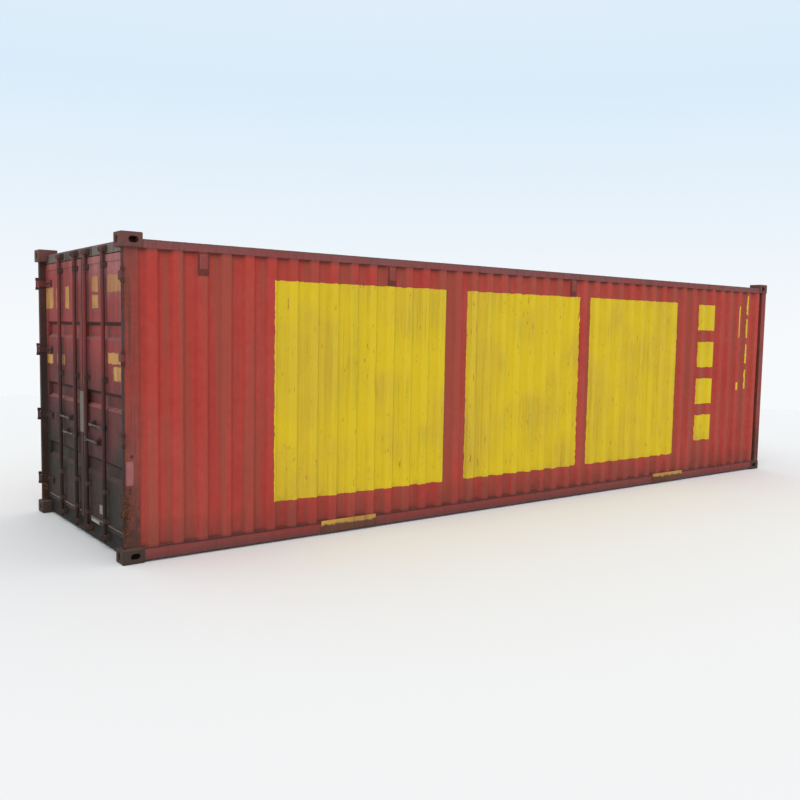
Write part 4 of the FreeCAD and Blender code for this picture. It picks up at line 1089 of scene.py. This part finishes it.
# --- Lock cover ---------------------------------------------------------------------------------
# A folded steel hood, open below, shields the padlock on the right leaf. It is painted light grey,
# and a small hasp plate sits above it.
cover_paint = painted("lock cover paint", (0.165, 0.145, 0.118, 1), (0.125, 0.105, 0.085, 1),
                      rusty=0.02, run=0.7, corner_dirt_and_shade=0.7, dirt=(0.050, 0.040, 0.032, 1), radius=0.003)
cover_low, cover_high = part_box("lock_cover")
hood = bmesh.new()
made = bmesh.ops.create_cube(hood, size=1)["verts"]
bmesh.ops.scale(hood, vec=cover_high - cover_low, verts=made)
bmesh.ops.translate(hood, vec=(cover_low + cover_high) / 2, verts=made)
open_sides = [face for face in hood.faces if face.normal.z < -0.5 or face.normal.x > 0.5]
bmesh.ops.delete(hood, geom=open_sides, context="FACES")
folds = [edge for edge in hood.edges if len(edge.link_faces) == 2]
bmesh.ops.bevel(hood, geom=folds, offset=0.007, segments=3, profile=0.5, affect="EDGES",
                material=-1)
bmesh.ops.recalc_face_normals(hood, faces=hood.faces)
bmesh.ops.solidify(hood, geom=hood.faces, thickness=0.003)
for low in (cover_low.z + 0.03, cover_high.z - 0.09):
    block(hood, (LEAF_FACE - 0.0045, cover_low.y - 0.012, low),
          (LEAF_FACE, cover_low.y + 0.002, low + 0.06), 0.001)
block(hood, (LEAF_FACE - 0.004, -0.060, cover_high.z + 0.055),
      (LEAF_FACE, -0.022, cover_high.z + 0.140), 0.001)
rod(hood, (LEAF_FACE - 0.004, -0.041, cover_high.z + 0.115),
    (LEAF_FACE - 0.0075, -0.041, cover_high.z + 0.115), 0.008, 0.006, 16)
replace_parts(hang("lock_hood", hood, cover_paint, "right_door"), "lock_cover")

# --- Blank placards -----------------------------------------------------------------------------
# Two small pale plates are fixed near the foot of the right leaf, the upper one by four rivets.
# They carry no lettering.
placard_paint = painted("placard paint", (0.40, 0.345, 0.33, 1), (0.30, 0.235, 0.22, 1),
                        rusty=-0.05, run=0.8, corner_dirt_and_shade=0.7, radius=0.001)
leaf_plate = bmesh.new()
block(leaf_plate, (SHEET_FACE - 0.0015, -0.552, 0.262), (SHEET_FACE, -0.412, 0.340), 0.0005)
for across in (-0.545, -0.419):
    for up in (0.269, 0.333):
        rod(leaf_plate, (SHEET_FACE - 0.0014, across, up), (SHEET_FACE - 0.003, across, up),
            0.0035, 0.002, 10)
block(leaf_plate, (LEAF_FACE - 0.0015, -0.410, 0.161), (LEAF_FACE, -0.200, 0.190), 0.0005)
hang("leaf_placards", leaf_plate, placard_paint, "right_door")

# --- Drip strips --------------------------------------------------------------------------------
# A half-round strip welded across the foot of each leaf throws rain clear of the sill. Its paint
# has worn to a pale line.
STRIP_HEIGHT = 0.200
strip_paint = painted("worn strip paint", (0.30, 0.235, 0.215, 1), (0.16, 0.110, 0.095, 1),
                      rusty=0.05, run=0.6, corner_dirt_and_shade=0.3, radius=0.001)
for side, hand in SIDES:
    strip = bmesh.new()
    for first, last in ((0.075, 0.118), (0.182, 0.583), (0.647, 1.070)):
        rod(strip, (LEAF_FACE, hand * first, STRIP_HEIGHT),
            (LEAF_FACE, hand * last, STRIP_HEIGHT), 0.0045, segments=12, rounding=0.001)
    hang(f"{side}_drip_strip", strip, strip_paint, f"{side}_door")

# --- Floor and underside ------------------------------------------------------------------------
# Plywood boards on cross channels carry the cargo. Screws go down through the boards into the
# channels, and everything below is thick with dark coating and road dirt.
plywood, ply_tree, ply_shader = surface("worn plywood")
spot = put(ply_tree, "TexCoord", out=3)
veneer = cloud(ply_tree, stretch(ply_tree, spot, (3.0, 60.0, 60.0)), 1.0, 6.0, 0.65)
knots = cloud(ply_tree, stretch(ply_tree, spot, (1.2, 7.0, 7.0)), 1.0, 4.0)
timber = mix(ply_tree, rise(ply_tree, veneer, 0.3, 0.7), (0.23, 0.125, 0.060, 1),
             (0.33, 0.20, 0.105, 1))
timber = mix(ply_tree, rise(ply_tree, knots, 0.55, 0.75), timber, (0.13, 0.070, 0.036, 1))
scuffs = apply(ply_tree, runs, stretch(ply_tree, spot, (0.2, 1.0, 1.0)), 30.0, 20.0)[0]
timber = mix(ply_tree, times(ply_tree, scuffs, 0.6), timber, (0.060, 0.045, 0.036, 1))
timber = mix(ply_tree, rise(ply_tree, cloud(ply_tree, spot, 1.3, 5.0), 0.5, 0.7, 0.0, 0.6), timber,
             (0.085, 0.060, 0.045, 1))
feed(ply_tree, ply_shader.inputs["Base Color"], timber)
feed(ply_tree, ply_shader.inputs["Roughness"], rise(ply_tree, veneer, 0.2, 0.8, 0.6, 0.85))
feed(ply_tree, ply_shader.inputs["Normal"], put(ply_tree, "Bump", 0.5, 0.0015, 1.0, veneer))
coat(plywood, "floor_boards")
under_paint = painted("underside coating", (0.030, 0.024, 0.021, 1), (0.050, 0.040, 0.034, 1),
                      rusty=0.05, run=0.0, corner_dirt_and_shade=0.6, radius=0.003, rough=0.75, peel=0.6)
coat(under_paint, "cross_members")
boards_low, boards_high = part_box("floor_boards")
members_low, members_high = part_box("cross_members")
MEMBERS, MEMBER_MARGIN = 29, 0.0225
SCREWS, SCREW_MARGIN = 14, 0.06
member_pitch = (members_high.x - members_low.x - 2 * MEMBER_MARGIN) / (MEMBERS - 1)
screw_pitch = (boards_high.y - boards_low.y - 2 * SCREW_MARGIN) / (SCREWS - 1)
screws = bmesh.new()
for member in range(MEMBERS):
    for number in range(SCREWS):
        place = Vector((members_low.x + MEMBER_MARGIN + member * member_pitch,
                        boards_low.y + SCREW_MARGIN + number * screw_pitch, boards_high.z - 0.001))
        rod(screws, place, place + Vector((0, 0, 0.0016)), 0.0065, 0.005, 8)
hang("floor_screws", screws, pin_steel)
